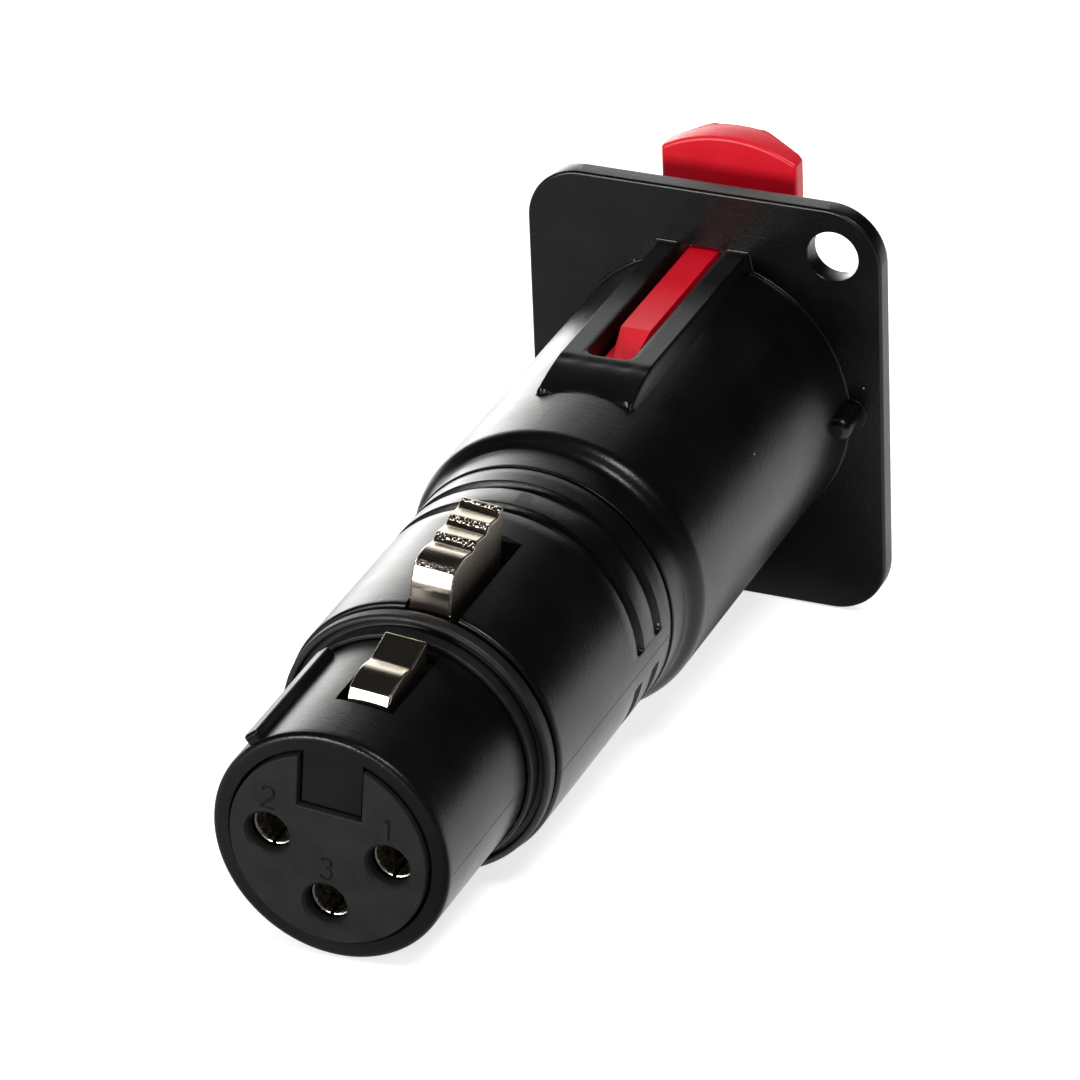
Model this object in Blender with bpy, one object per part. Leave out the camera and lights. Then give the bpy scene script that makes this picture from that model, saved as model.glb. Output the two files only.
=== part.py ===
# Panel adapter: a three-pole XLR socket behind a D-size flange, a locking jack socket in front of it.
# The origin is the centre of the flange's back face. +Y runs back along the connector, +Z is up,
# towards the latch and the release lever. Sizes are in metres.
import math

import bmesh
import bpy
from mathutils import Matrix, Vector

ROUND = 64  # sides of the large turned shapes
SMALL_ROUND = 20  # sides of pins, holes and tubes
PEG_ROUND = 14
GAP = 0.0003  # running and seating clearance
SEAM = 0.00015  # fine gap where two mouldings meet in view

# Flange
FLANGE_WIDTH = 0.026
FLANGE_HEIGHT = 0.031
FLANGE_THICKNESS = 0.0016
FLANGE_CORNER = 0.004
FIX_HOLE_RADIUS = 0.00184
FIX_HOLE_INSET = 0.0035
FIX_HOLE_CHAMFER = 0.0003

# Body behind the flange
BODY_RADIUS = 0.01045
BODY_LENGTH = 0.02695
BODY_WALL = 0.00145
SHOULDER_ROUND = 0.0011
SHOULDER_LENGTH = 0.0007
COLLAR_STEP = 0.0008
COLLAR_LENGTH = 0.0032
COLLAR_FILLET = 0.0009
LAND_WIDTH = 0.0002
LAND_HEIGHT = 0.00012
PEG_RADIUS = 0.0009
PEG_LENGTH = 0.00275
PEG_DOME = 0.0005

# Boss in front of the flange
BOSS_RADIUS = 0.0089
BOSS_LENGTH = 0.006
BOSS_EDGE = 0.0005
BUSH_SHARE = 0.376  # how far out of the plug bore the bush and its collar reach, as shares of the block
COLLAR_SHARE = 0.615
BUSH_COLLAR_LENGTH = 0.0013
BUSH_EDGE = 0.0004
PLUG_BORE_RADIUS = 0.00325
PLUG_END_WALL = 0.0019

# Box over the release lever
BOX_HALF_WIDTH = 0.00333
BOX_DRAFT = 0.0002
BOX_RISE = 0.00079
BOX_FLAT_LENGTH = 0.0174
BOX_NOSE_LENGTH = 0.00375
BOX_NOSE_DROP = 0.00085
SLOT_HALF_WIDTH = 0.0016
SLOT_LENGTH = 0.017
SLOT_CORNER = 0.0006
SLOT_WALL = 0.001

# Release lever
LEVER_PIVOT_Y = 0.0085
LEVER_PIVOT_DEPTH = 0.00179
LEVER_PIN_RADIUS = 0.0005
LEVER_BOSS_RADIUS = 0.00125
LEVER_PIN_COVER = 0.00045
BAR_HALF_WIDTH = 0.0011
BAR_BASE_EXTRA = 0.0002
BAR_TOP_GAP = 0.00029
BAR_HEIGHT = 0.00165
BAR_BASE_HEIGHT = 0.0005
BAR_FOLD = 0.01215
BAR_END = 0.0163
BAR_END_HEIGHT = 0.0005
BAR_END_TAPER = 0.00065
BAR_END_RAKE = 0.0003
TAB_BACK = 0.0034
TAB_DEPTH = 0.0023
TAB_SIDE_DEPTH = 0.00135
TAB_HALF_WIDTH = 0.005
TAB_FRONT_HALF_WIDTH = 0.0022
TAB_RISE = 0.00165
TAB_SHOULDER_DROP = 0.00135
CATCH_THICKNESS = 0.0006
CATCH_HALF_WIDTH = 0.0009
CATCH_BITE = 0.0005
CATCH_REACH = 0.003
CATCH_SLOT_FLOOR = 0.001
TIP_GROOVE_FROM_END = 0.0034

# Jack block
CAP_THICKNESS = 0.0013
LEAF_THICKNESS = 0.0003
LEAF_HALF_WIDTH = 0.0008
LEAF_TAIL_INSET = 0.0015
LEAF_BITE = 0.00045
LEAF_REACH = 0.0065
LEAF_CREST = 0.001
LEAF_CREST_RISE = 0.0007
LEAF_NOSE = 0.0016
LEAF_NOSE_RISE = 0.0013
TIP_FROM_END = 0.005
RING_FROM_END = 0.009
SLEEVE_FROM_END = 0.0142

# Connector end, turned a little about its own axis where it is joined to the body
SHELL_TURN = math.radians(-5.3)
BARREL_STEP = 0.0009
BARREL_LENGTH = 0.0187
BARREL_EDGE = 0.00025
FIRST_GROOVE_FROM_SEAM = 0.00165
GROOVE_PITCH = 0.0029
GROOVE_WIDTH = 0.0009
GROOVE_DEPTH = 0.0004
GROOVE_BRIDGE = 7.0  # degrees each side of the parting line without a groove
NOSE_STEP = 0.0015
NOSE_LENGTH = 0.0143
NOSE_WALL = 0.0012
NOSE_EDGE = 0.00035
NOSE_ROOT_WALL = 0.0011
SPIGOT_WALL = 0.0008
SPIGOT_LENGTH = 0.00485
RIB_ANGLE = 43.0  # degrees from the top towards +X
RIB_HALF_WIDTH = 0.0006
RIB_HEIGHT = 0.00065
RIB_FROM_ROOT = 0.0027
RIB_FROM_END = 0.0004

# Rubber ring
GASKET_STEP = 0.00023
GASKET_THICKNESS = 0.00095
GASKET_LIP_LENGTH = 0.00075
GASKET_LIP_WALL = 0.0003
GASKET_GROOVE_DEPTH = 0.00045
GASKET_BEAD_WALL = 0.00045
GASKET_EDGE = 0.0002

# Latch
LATCH_HALF_WIDTH = 0.00143
LATCH_PIVOT_BACK = 0.011
LATCH_PIVOT_DEPTH = 0.0008
LATCH_PIN_RADIUS = 0.0005
LATCH_BOSS_RADIUS = 0.0011
LATCH_SIDE_ROOM = 0.00067  # on the -X side, the latch lies close to the slot's other wall
LATCH_SLOT_LENGTH = 0.01013
BUTTON_LENGTH = 0.0081
BUTTON_REAR_RISE = 0.00355
BUTTON_FRONT_RISE = 0.0028
BUTTON_NOSE_DROP = 0.0011
BUTTON_SAG = 0.0001
BUTTON_RIDGES = 3
BUTTON_HUMP_LENGTH = 0.0018
BUTTON_RIDGE_DEPTH = 0.0005
ARM_DEPTH = 0.00095
ARM_THICKNESS = 0.0011
ARM_FILLET = 0.001
WINDOW_HALF_WIDTH = 0.00195
WINDOW_FROM_ROOT = 0.0024
WINDOW_LENGTH = 0.00738
BRIDGE_WALL = 0.0006
HOOK_REAR_ROOM = 0.00095
HOOK_RISE = 0.00137
HOOK_VALLEY_RISE = 0.00055
HOOK_HUMP_RISE = 0.00093
HOOK_VALLEY_BACK = 0.0031
HOOK_HUMP_BACK = 0.0011
HOOK_EDGE = 0.00035
HOOK_FRONT_ROOM = 0.00048
HOOK_LIP_RISE = 0.00025

# Contact carrier and contacts
CARRIER_PROUD = 0.00037
CARRIER_EDGE = 0.0001
CHANNEL_HALF_WIDTH = 0.0022
CHANNEL_FLOOR = 0.00273
PIN_SHARE = 0.612  # circle of the contacts as a share of the carrier's radius in the nose
CONTACT_BORE = 0.00125
CONTACT_WALL = 0.00025
CONTACT_RECESS = 0.0012
CONTACT_LENGTH = 0.017
CONTACT_FLOOR = 0.002
CONTACT_SLIT = 0.0003
TAIL_RADIUS = 0.0005
FACE_HOLE_RADIUS = 0.00142
SHELL_STRIP_THICKNESS = 0.0003
SHELL_STRIP_HALF_WIDTH = 0.0009
SHELL_STRIP_LENGTH = 0.011
SHELL_STRIP_DEPTH = 0.001
SHELL_STRIP_RISE = 0.001
SHELL_STRIP_SPRING = 0.00035

# Link board and spacer
BOARD_ROOM = 0.0008
BOARD_THICKNESS = 0.0012
TAIL_PROUD = 0.0005
SPACER_WALL = 0.00055
SPACER_LENGTH = 0.0038

# Coil springs
LEVER_SPRING_RADIUS = 0.00085
LATCH_SPRING_BACK = 0.004
LATCH_SPRING_RADIUS = 0.00125
SPRING_WIRE = 0.00016

# Places that follow from the sizes above, jack end
BODY_END = BODY_LENGTH + COLLAR_LENGTH
COLLAR_RADIUS = BODY_RADIUS - COLLAR_STEP
CAVITY_RADIUS = BODY_RADIUS - BODY_WALL
CAVITY_START = GAP
BOX_TOP = BODY_RADIUS + BOX_RISE
BOSS_FRONT = -FLANGE_THICKNESS - BOSS_LENGTH
BUSH_FRONT = BOSS_FRONT - GAP
SPIGOT_START = BODY_END - SPIGOT_LENGTH
INSERT_START = CAVITY_START + GAP
INSERT_END = SPIGOT_START - GAP
INSERT_RADIUS = CAVITY_RADIUS - GAP
PLUG_END = INSERT_END - PLUG_END_WALL
BUSH_RADIUS = PLUG_BORE_RADIUS + (INSERT_RADIUS - PLUG_BORE_RADIUS) * BUSH_SHARE
BUSH_COLLAR = PLUG_BORE_RADIUS + (INSERT_RADIUS - PLUG_BORE_RADIUS) * COLLAR_SHARE
BAR_TOP = BOX_TOP - BAR_TOP_GAP
BAR_BOTTOM = BAR_TOP - BAR_HEIGHT
BAR_BASE_TOP = BAR_BOTTOM + BAR_BASE_HEIGHT
TAB_REAR_Y = -FLANGE_THICKNESS - TAB_BACK
TAB_TOP = FLANGE_HEIGHT / 2 + TAB_RISE
LEVER_PIVOT = Vector((0.0, LEVER_PIVOT_Y, BOX_TOP - LEVER_PIVOT_DEPTH))
LEVER_BOTTOM = BOX_TOP - LEVER_PIVOT_DEPTH - LEVER_BOSS_RADIUS
CATCH_TOP = LEVER_BOTTOM - GAP
CATCH_BOTTOM = CATCH_TOP - CATCH_THICKNESS
CATCH_Y = PLUG_END - TIP_GROOVE_FROM_END
INSERT_CHANNEL_FLOOR = CATCH_BOTTOM - 3 * GAP
LEVER_SPRING_Y = INSERT_START + BUSH_COLLAR_LENGTH + 2 * GAP + LEVER_SPRING_RADIUS + SPRING_WIRE

# Places that follow, connector end
SHELL_START = BODY_END + SEAM
BARREL_END = SHELL_START + BARREL_LENGTH
NOSE_END = BARREL_END + NOSE_LENGTH
SPIGOT_RADIUS = CAVITY_RADIUS - GAP
BARREL_RADIUS = BODY_RADIUS - BARREL_STEP
BARREL_BORE = SPIGOT_RADIUS - SPIGOT_WALL
NOSE_RADIUS = BARREL_RADIUS - NOSE_STEP
NOSE_BORE = NOSE_RADIUS - NOSE_WALL
FIRST_GROOVE = SHELL_START + FIRST_GROOVE_FROM_SEAM
SECOND_GROOVE = FIRST_GROOVE + GROOVE_PITCH
PARTING = math.radians(GROOVE_BRIDGE)
RIB_START = BARREL_END + RIB_FROM_ROOT
RIB_END = NOSE_END - RIB_FROM_END
GASKET_RADIUS = BARREL_RADIUS - GASKET_STEP
BOARD_FRONT = INSERT_END + GAP + CAP_THICKNESS + BOARD_ROOM
BOARD_BACK = BOARD_FRONT + BOARD_THICKNESS
BOARD_RADIUS = BARREL_BORE - GAP
LEAF_TAIL_RADIUS = BOARD_RADIUS - LEAF_TAIL_INSET
CARRIER_REAR = BOARD_BACK + SPACER_LENGTH + 2 * GAP
CARRIER_RADIUS = BARREL_BORE - GAP
CARRIER_STEP = BARREL_END - NOSE_ROOT_WALL - GAP
CARRIER_NOSE_RADIUS = NOSE_BORE - SEAM
CARRIER_END = NOSE_END + CARRIER_PROUD
PIN_CIRCLE = CARRIER_NOSE_RADIUS * PIN_SHARE
CONTACT_END = CARRIER_END - CONTACT_RECESS
CONTACT_RADIUS = CONTACT_BORE + CONTACT_WALL
CONTACT_START = CONTACT_END - CONTACT_LENGTH
ARM_TOP = NOSE_RADIUS - ARM_DEPTH
ARM_BOTTOM = ARM_TOP - ARM_THICKNESS
LATCH_PIVOT = Vector((0.0, BARREL_END - LATCH_PIVOT_BACK, ARM_TOP - LATCH_PIVOT_DEPTH))
LATCH_SLOT_START = BARREL_END - LATCH_SLOT_LENGTH
LATCH_SPRING_Y = BARREL_END - LATCH_SPRING_BACK
BUTTON_FRONT = BARREL_END - GAP
BUTTON_REAR = BUTTON_FRONT - BUTTON_LENGTH
BUTTON_REAR_TOP = BARREL_RADIUS + BUTTON_REAR_RISE
BUTTON_FRONT_TOP = BARREL_RADIUS + BUTTON_FRONT_RISE
WINDOW_START = BARREL_END + WINDOW_FROM_ROOT
WINDOW_END = WINDOW_START + WINDOW_LENGTH
HOOK_REAR = WINDOW_START + HOOK_REAR_ROOM
HOOK_FRONT = WINDOW_END - HOOK_FRONT_ROOM
HOOK_CREST = NOSE_RADIUS + HOOK_RISE
HOOK_LIP_TOP = NOSE_RADIUS + HOOK_LIP_RISE


def material(name, color, roughness, metallic=0.0):
    made = bpy.data.materials.new(name)
    made.use_nodes = True
    shader = made.node_tree.nodes["Principled BSDF"]
    shader.inputs["Base Color"].default_value = (*color, 1.0)
    shader.inputs["Roughness"].default_value = roughness
    shader.inputs["Metallic"].default_value = metallic
    return made


def add_object(name, bm, made_of=None, parent=None, origin=None):
    """Close a bmesh into an object; its origin is moved to the given point."""
    bmesh.ops.recalc_face_normals(bm, faces=bm.faces)
    if origin is not None:
        bmesh.ops.translate(bm, verts=bm.verts, vec=-origin)
    mesh = bpy.data.meshes.new(name)
    bm.to_mesh(mesh)
    bm.free()
    mesh.shade_smooth()
    mesh.set_sharp_from_angle(angle=math.radians(35.0))
    obj = bpy.data.objects.new(name, mesh)
    bpy.context.scene.collection.objects.link(obj)
    if made_of is not None:
        mesh.materials.append(made_of)
    if origin is not None:
        obj.location = origin
    if parent is not None:
        obj.parent = parent
    return obj


def lathe(profile, sides=ROUND, centre=(0.0, 0.0)):
    """Turn a profile of (radius, y) about the Y axis through centre (x, z).
    A profile that starts and ends on the axis makes a solid with flat ends, any other one a ring."""
    solid = profile[0][0] == 0.0
    bm = bmesh.new()
    rings = []
    for radius, y in (profile[1:-1] if solid else profile):
        ring = []
        for step in range(sides):
            angle = 2.0 * math.pi * (step + 0.5) / sides
            x = centre[0] + radius * math.cos(angle)
            z = centre[1] + radius * math.sin(angle)
            ring.append(bm.verts.new((x, y, z)))
        rings.append(ring)
    pairs = list(zip(rings, rings[1:]))
    if solid:
        bm.faces.new(rings[0])
        bm.faces.new(rings[-1])
    else:
        pairs.append((rings[-1], rings[0]))
    for first, second in pairs:
        for step in range(sides):
            after = (step + 1) % sides
            bm.faces.new((first[step], first[after], second[after], second[step]))
    return bm


def prism(outline, place, low, high):
    """Extrude a flat outline. place turns (u, v, w) into a point, with w running from low to high."""
    bm = bmesh.new()
    bottom = [bm.verts.new(place(u, v, low)) for u, v in outline]
    top = [bm.verts.new(place(u, v, high)) for u, v in outline]
    bm.faces.new(bottom)
    bm.faces.new(top)
    count = len(outline)
    for step in range(count):
        after = (step + 1) % count
        bm.faces.new((bottom[step], bottom[after], top[after], top[step]))
    return bm


def across(u, v, w):
    """An outline in (y, z), extruded along X."""
    return Vector((w, u, v))


def along(u, v, w):
    """An outline in (x, z), extruded along Y."""
    return Vector((u, w, v))


def upward(u, v, w):
    """An outline in (x, y), extruded along Z."""
    return Vector((u, v, w))


def block(low, high):
    outline = [(low[1], low[2]), (high[1], low[2]), (high[1], high[2]), (low[1], high[2])]
    return prism(outline, across, low[0], high[0])


def arc(centre, radius, start, end, steps):
    """Points on an arc, angles in degrees."""
    points = []
    for step in range(steps + 1):
        angle = math.radians(start + (end - start) * step / steps)
        points.append((centre[0] + radius * math.cos(angle), centre[1] + radius * math.sin(angle)))
    return points


def round_rectangle(half_width, half_height, radius, steps=6):
    points = []
    for turn, (sx, sz) in enumerate(((1, 1), (-1, 1), (-1, -1), (1, -1))):
        centre = (sx * (half_width - radius), sz * (half_height - radius))
        points += arc(centre, radius, 90.0 * turn, 90.0 * (turn + 1), steps)
    return points


def cross_hole(pivot, radius, half_length):
    """A round rod along X through the pivot."""
    outline = [(pivot.y + radius * math.cos(2.0 * math.pi * step / SMALL_ROUND),
                pivot.z + radius * math.sin(2.0 * math.pi * step / SMALL_ROUND))
               for step in range(SMALL_ROUND)]
    return prism(outline, across, -half_length, half_length)


def tool(name, bm, parent=None):
    """A shape that only cuts or joins another one."""
    obj = add_object(name, bm, parent=parent)
    obj.hide_render = True
    obj.display_type = "WIRE"
    return obj


def combine(obj, operation, name, bm, parent=None):
    other = tool(name, bm, parent)
    boolean = obj.modifiers.new(name, "BOOLEAN")
    boolean.operation = operation
    boolean.object = other
    boolean.solver = "EXACT"
    return other


def join(obj, name, bm, parent=None):
    return combine(obj, "UNION", name, bm, parent)


def cut(obj, name, bm, parent=None):
    return combine(obj, "DIFFERENCE", name, bm, parent)


def coil(name, radius, low, high, place, made_of, parent=None, turns=4):
    """A compression spring that stands along Z between low and high."""
    steps = 10 * turns
    curve = bpy.data.curves.new(name, "CURVE")
    curve.dimensions = "3D"
    curve.bevel_depth = SPRING_WIRE
    curve.bevel_resolution = 1
    curve.use_fill_caps = True
    spline = curve.splines.new("POLY")
    spline.points.add(steps)
    for step, point in enumerate(spline.points):
        share = step / steps
        angle = 2.0 * math.pi * turns * share
        height = (low + SPRING_WIRE) * (1.0 - share) + (high - SPRING_WIRE) * share
        point.co = (radius * math.cos(angle), place + radius * math.sin(angle), height, 1.0)
    obj = bpy.data.objects.new(name, curve)
    bpy.context.scene.collection.objects.link(obj)
    curve.materials.append(made_of)
    obj.parent = parent
    return obj


def turned_place(x, z):
    """Where a point of the connector end lies once that end is turned about its axis."""
    place = Matrix.Rotation(SHELL_TURN, 4, "Y") @ Vector((x, 0.0, z))
    return place.x, place.z


# Jack end

def rounded(before, corner, after, radius, steps):
    """Points of the arc that rounds one corner of an outline."""
    here = Vector(corner)
    first = (Vector(before) - here).normalized()
    last = (Vector(after) - here).normalized()
    half = math.acos(first.dot(last)) / 2.0
    middle = here + (first + last).normalized() * (radius / math.sin(half))
    start = here + first * (radius / math.tan(half)) - middle
    end = here + last * (radius / math.tan(half)) - middle
    sweep = math.atan2(start.x * end.y - start.y * end.x, start.dot(end))
    points = []
    for step in range(steps + 1):
        angle = sweep * step / steps
        points.append((middle.x + start.x * math.cos(angle) - start.y * math.sin(angle),
                       middle.y + start.x * math.sin(angle) + start.y * math.cos(angle)))
    return points


def body_profile():
    """The housing's outside behind the flange: land, body, rounded shoulder, fillet and collar."""
    land = BODY_RADIUS + LAND_WIDTH
    base = (BODY_RADIUS, LAND_HEIGHT)
    edge = (BODY_RADIUS, BODY_LENGTH)
    foot = (COLLAR_RADIUS, BODY_LENGTH + SHOULDER_LENGTH)
    rim = (COLLAR_RADIUS, BODY_END)
    profile = [(0.0, -FLANGE_THICKNESS / 2), (land, -FLANGE_THICKNESS / 2), (land, LAND_HEIGHT), base]
    profile += rounded(base, edge, foot, SHOULDER_ROUND, 3)
    profile += rounded(edge, foot, rim, COLLAR_FILLET, 2)
    profile += [rim, (0.0, BODY_END)]
    return profile


def box_outline(spread):
    low = BODY_RADIUS / 2
    top = BOX_TOP + spread
    side = BOX_HALF_WIDTH + spread
    return [(-side - BOX_DRAFT, low), (side + BOX_DRAFT, low), (side, top), (-side, top)]


def lever_slot_outline():
    half, end, radius = SLOT_HALF_WIDTH, SLOT_LENGTH, SLOT_CORNER
    start = -FLANGE_THICKNESS / 2
    points = [(-half, start), (half, start)]
    points += arc((half - radius, end - radius), radius, 0.0, 90.0, 4)
    points += arc((radius - half, end - radius), radius, 90.0, 180.0, 4)
    return points


def fixing_hole(x, z):
    front = -FLANGE_THICKNESS
    wide = FIX_HOLE_RADIUS + FIX_HOLE_CHAMFER
    profile = [(0.0, front - GAP), (wide + GAP, front - GAP), (FIX_HOLE_RADIUS, front + FIX_HOLE_CHAMFER),
               (FIX_HOLE_RADIUS, GAP), (0.0, GAP)]
    return lathe(profile, SMALL_ROUND, (x, z))


def make_jack_housing(paint):
    outline = round_rectangle(FLANGE_WIDTH / 2, FLANGE_HEIGHT / 2, FLANGE_CORNER, 8)
    housing = add_object("jack_housing", prism(outline, along, -FLANGE_THICKNESS, 0.0), paint)
    join(housing, "body_form", lathe(body_profile()))
    for side, name in ((-1, "peg_right"), (1, "peg_left")):
        place = (side * (BODY_RADIUS + LAND_WIDTH), 0.0)
        peg = [(0.0, -GAP), (PEG_RADIUS, -GAP), (PEG_RADIUS, PEG_LENGTH - PEG_DOME),
               (PEG_RADIUS - PEG_DOME * 0.3, PEG_LENGTH - PEG_DOME * 0.3), (PEG_RADIUS - PEG_DOME, PEG_LENGTH),
               (0.0, PEG_LENGTH)]
        join(housing, name, lathe(peg, PEG_ROUND, place))
    join(housing, "box_land_form", prism(box_outline(LAND_WIDTH), along, -GAP, LAND_HEIGHT))
    box = prism(box_outline(0.0), along, -GAP, BOX_FLAT_LENGTH + BOX_NOSE_LENGTH)
    box_form = join(housing, "box_form", box)
    nose_cut = [(BOX_FLAT_LENGTH, BOX_TOP), (BOX_FLAT_LENGTH + BOX_NOSE_LENGTH * 0.45, BOX_TOP - BOX_NOSE_DROP * 0.3),
                (BOX_FLAT_LENGTH + BOX_NOSE_LENGTH + GAP, BOX_TOP - BOX_NOSE_DROP * 1.08),
                (BOX_FLAT_LENGTH + BOX_NOSE_LENGTH + GAP, BOX_TOP + GAP), (BOX_FLAT_LENGTH - GAP, BOX_TOP + GAP)]
    cut(box_form, "box_slope", prism(nose_cut, across, -2 * BOX_HALF_WIDTH, 2 * BOX_HALF_WIDTH))
    boss = [(0.0, -FLANGE_THICKNESS / 2), (BOSS_RADIUS, -FLANGE_THICKNESS / 2),
            (BOSS_RADIUS, BOSS_FRONT + BOSS_EDGE), (BOSS_RADIUS - BOSS_EDGE, BOSS_FRONT), (0.0, BOSS_FRONT)]
    join(housing, "boss_form", lathe(boss))

    cavity = [(0.0, CAVITY_START), (CAVITY_RADIUS, CAVITY_START), (CAVITY_RADIUS, BODY_END + GAP),
              (0.0, BODY_END + GAP)]
    cut(housing, "cavity", lathe(cavity))
    bush = BUSH_RADIUS + GAP
    mouth = [(0.0, BOSS_FRONT - GAP), (bush, BOSS_FRONT - GAP), (bush, CAVITY_START + GAP), (0.0, CAVITY_START + GAP)]
    cut(housing, "bush_bore", lathe(mouth))
    cut(housing, "lever_slot", prism(lever_slot_outline(), upward, CAVITY_RADIUS - 2 * SLOT_WALL, BOX_TOP + GAP))
    travel = LEVER_BOTTOM - GAP
    cut(housing, "lever_window", block((-SLOT_HALF_WIDTH, BOSS_FRONT - GAP, travel), (SLOT_HALF_WIDTH, 0.0, BOX_TOP)))
    notch = TAB_HALF_WIDTH + GAP
    cut(housing, "tab_notch", block((-notch, BOSS_FRONT - GAP, travel - GAP),
                                    (notch, -FLANGE_THICKNESS, BOX_TOP)))
    catch_top = BODY_RADIUS - SLOT_WALL / 2
    cut(housing, "catch_room", block((-SLOT_HALF_WIDTH, GAP * 2, CAVITY_RADIUS - SLOT_WALL),
                                     (SLOT_HALF_WIDTH, CATCH_Y + SLOT_WALL, catch_top)))
    cut(housing, "lever_pin_bore", cross_hole(LEVER_PIVOT, LEVER_PIN_RADIUS + SEAM, BOX_HALF_WIDTH - LEVER_PIN_COVER))
    hole = (FLANGE_WIDTH / 2 - FIX_HOLE_INSET, FLANGE_HEIGHT / 2 - FIX_HOLE_INSET)
    cut(housing, "fixing_hole_upper", fixing_hole(-hole[0], hole[1]))
    cut(housing, "fixing_hole_lower", fixing_hole(hole[0], -hole[1]))
    return housing


def leaf_outline(bump):
    """A leaf contact in (y, radius): a straight tail, a slope inwards and a bump into the plug bore."""
    thick = LEAF_THICKNESS
    bite = PLUG_BORE_RADIUS - LEAF_BITE
    knee = bump + LEAF_REACH
    tail_end = BOARD_BACK + TAIL_PROUD
    crest, rise = bump + LEAF_CREST, bite + LEAF_CREST_RISE
    nose, nose_rise = bump - LEAF_NOSE, bite + LEAF_NOSE_RISE
    inner = [(tail_end, LEAF_TAIL_RADIUS), (knee, LEAF_TAIL_RADIUS), (crest, rise), (bump, bite), (nose, nose_rise)]
    outer = [(nose, nose_rise + thick * 1.2), (bump, bite + thick * 1.2), (crest, rise + thick * 1.3),
             (knee, LEAF_TAIL_RADIUS + thick), (tail_end, LEAF_TAIL_RADIUS + thick)]
    return inner + outer


LEAF_BUMPS = (("tip_spring", PLUG_END - TIP_FROM_END, 180.0), ("ring_spring", PLUG_END - RING_FROM_END, 90.0),
              ("sleeve_spring", PLUG_END - SLEEVE_FROM_END, -90.0))


def spun(bm, degrees):
    """Turn a mesh about the connector axis."""
    bmesh.ops.rotate(bm, verts=bm.verts, matrix=Matrix.Rotation(math.radians(degrees), 3, "Y"))
    return bm


def make_jack_insert(plastic):
    collar = BUSH_COLLAR + GAP
    seat = INSERT_START + BUSH_COLLAR_LENGTH + GAP
    bore = PLUG_BORE_RADIUS + SEAM
    profile = [(0.0, PLUG_END + GAP), (bore, PLUG_END + GAP), (bore, seat), (collar, seat), (collar, INSERT_START),
               (INSERT_RADIUS, INSERT_START), (INSERT_RADIUS, INSERT_END), (0.0, INSERT_END)]
    insert = add_object("jack_insert", lathe(profile), plastic)
    channel = BAR_HALF_WIDTH + BAR_BASE_EXTRA + 2 * GAP
    cut(insert, "lever_channel", block((-channel, INSERT_START - GAP, INSERT_CHANNEL_FLOOR),
                                       (channel, INSERT_END - 2 * GAP, CAVITY_RADIUS + GAP)))
    hook = CATCH_HALF_WIDTH + GAP
    cut(insert, "catch_slot", block((-hook, CATCH_Y - GAP * 2, CATCH_SLOT_FLOOR),
                                    (hook, CATCH_Y + CATCH_THICKNESS + GAP * 2, CAVITY_RADIUS + GAP)))
    for name, bump, turn in LEAF_BUMPS:
        half = LEAF_HALF_WIDTH + GAP
        room = block((-half, bump - LEAF_NOSE - 2 * GAP, PLUG_BORE_RADIUS / 2),
                     (half, INSERT_END + GAP, LEAF_TAIL_RADIUS + LEAF_THICKNESS + GAP))
        cut(insert, name + "_room", spun(room, turn))
    return insert


def make_sleeve_bushing(metal):
    flat = BUSH_EDGE
    profile = [(PLUG_BORE_RADIUS + flat, BUSH_FRONT), (BUSH_RADIUS - flat / 2, BUSH_FRONT),
               (BUSH_RADIUS, BUSH_FRONT + flat / 2), (BUSH_RADIUS, INSERT_START), (BUSH_COLLAR, INSERT_START),
               (BUSH_COLLAR, INSERT_START + BUSH_COLLAR_LENGTH), (PLUG_BORE_RADIUS, INSERT_START + BUSH_COLLAR_LENGTH),
               (PLUG_BORE_RADIUS, BUSH_FRONT + flat)]
    return add_object("sleeve_bushing", lathe(profile, 48), metal)


def make_leaf_contacts(metal):
    for name, bump, turn in LEAF_BUMPS:
        leaf = prism(leaf_outline(bump), across, -LEAF_HALF_WIDTH, LEAF_HALF_WIDTH)
        add_object(name, spun(leaf, turn), metal)


def leaf_tail_slot(low, high):
    """Room for one leaf's tail through a disc, before it is spun to the leaf's own angle."""
    half = LEAF_HALF_WIDTH + GAP
    return block((-half, low - GAP, LEAF_TAIL_RADIUS - GAP), (half, high + GAP, LEAF_TAIL_RADIUS + LEAF_THICKNESS + GAP))


def make_insert_cap(plastic):
    low, high = INSERT_END + GAP, INSERT_END + GAP + CAP_THICKNESS
    cap = add_object("insert_cap", lathe([(0.0, low), (BOARD_RADIUS, low), (BOARD_RADIUS, high), (0.0, high)], 48),
                     plastic)
    for name, bump, turn in LEAF_BUMPS:
        cut(cap, name + "_cap_slot", spun(leaf_tail_slot(low, high), turn))
    return cap


def tab_outline():
    """The tab seen from above, (x, y), deepest at its centre, with slanted front corners."""
    back, side, front = TAB_REAR_Y, TAB_REAR_Y - TAB_SIDE_DEPTH, TAB_REAR_Y - TAB_DEPTH
    return [(-TAB_HALF_WIDTH, back), (TAB_HALF_WIDTH, back), (TAB_HALF_WIDTH, side),
            (TAB_FRONT_HALF_WIDTH, front), (-TAB_FRONT_HALF_WIDTH, front), (-TAB_HALF_WIDTH, side)]


def tab_crown():
    """Everything above the tab's crowned top, in (x, z)."""
    drop = TAB_SHOULDER_DROP
    radius = (TAB_HALF_WIDTH ** 2 + drop ** 2) / (2.0 * drop)
    spread = math.degrees(math.asin(TAB_HALF_WIDTH / radius))
    crown = arc((0.0, TAB_TOP - radius), radius, 90.0 - spread, 90.0 + spread, 14)
    ceiling = TAB_TOP + 2 * GAP
    side = TAB_HALF_WIDTH + GAP
    edge = TAB_TOP - drop - GAP
    return [(side, ceiling), (side, edge)] + crown + [(-side, edge), (-side, ceiling)]


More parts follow.
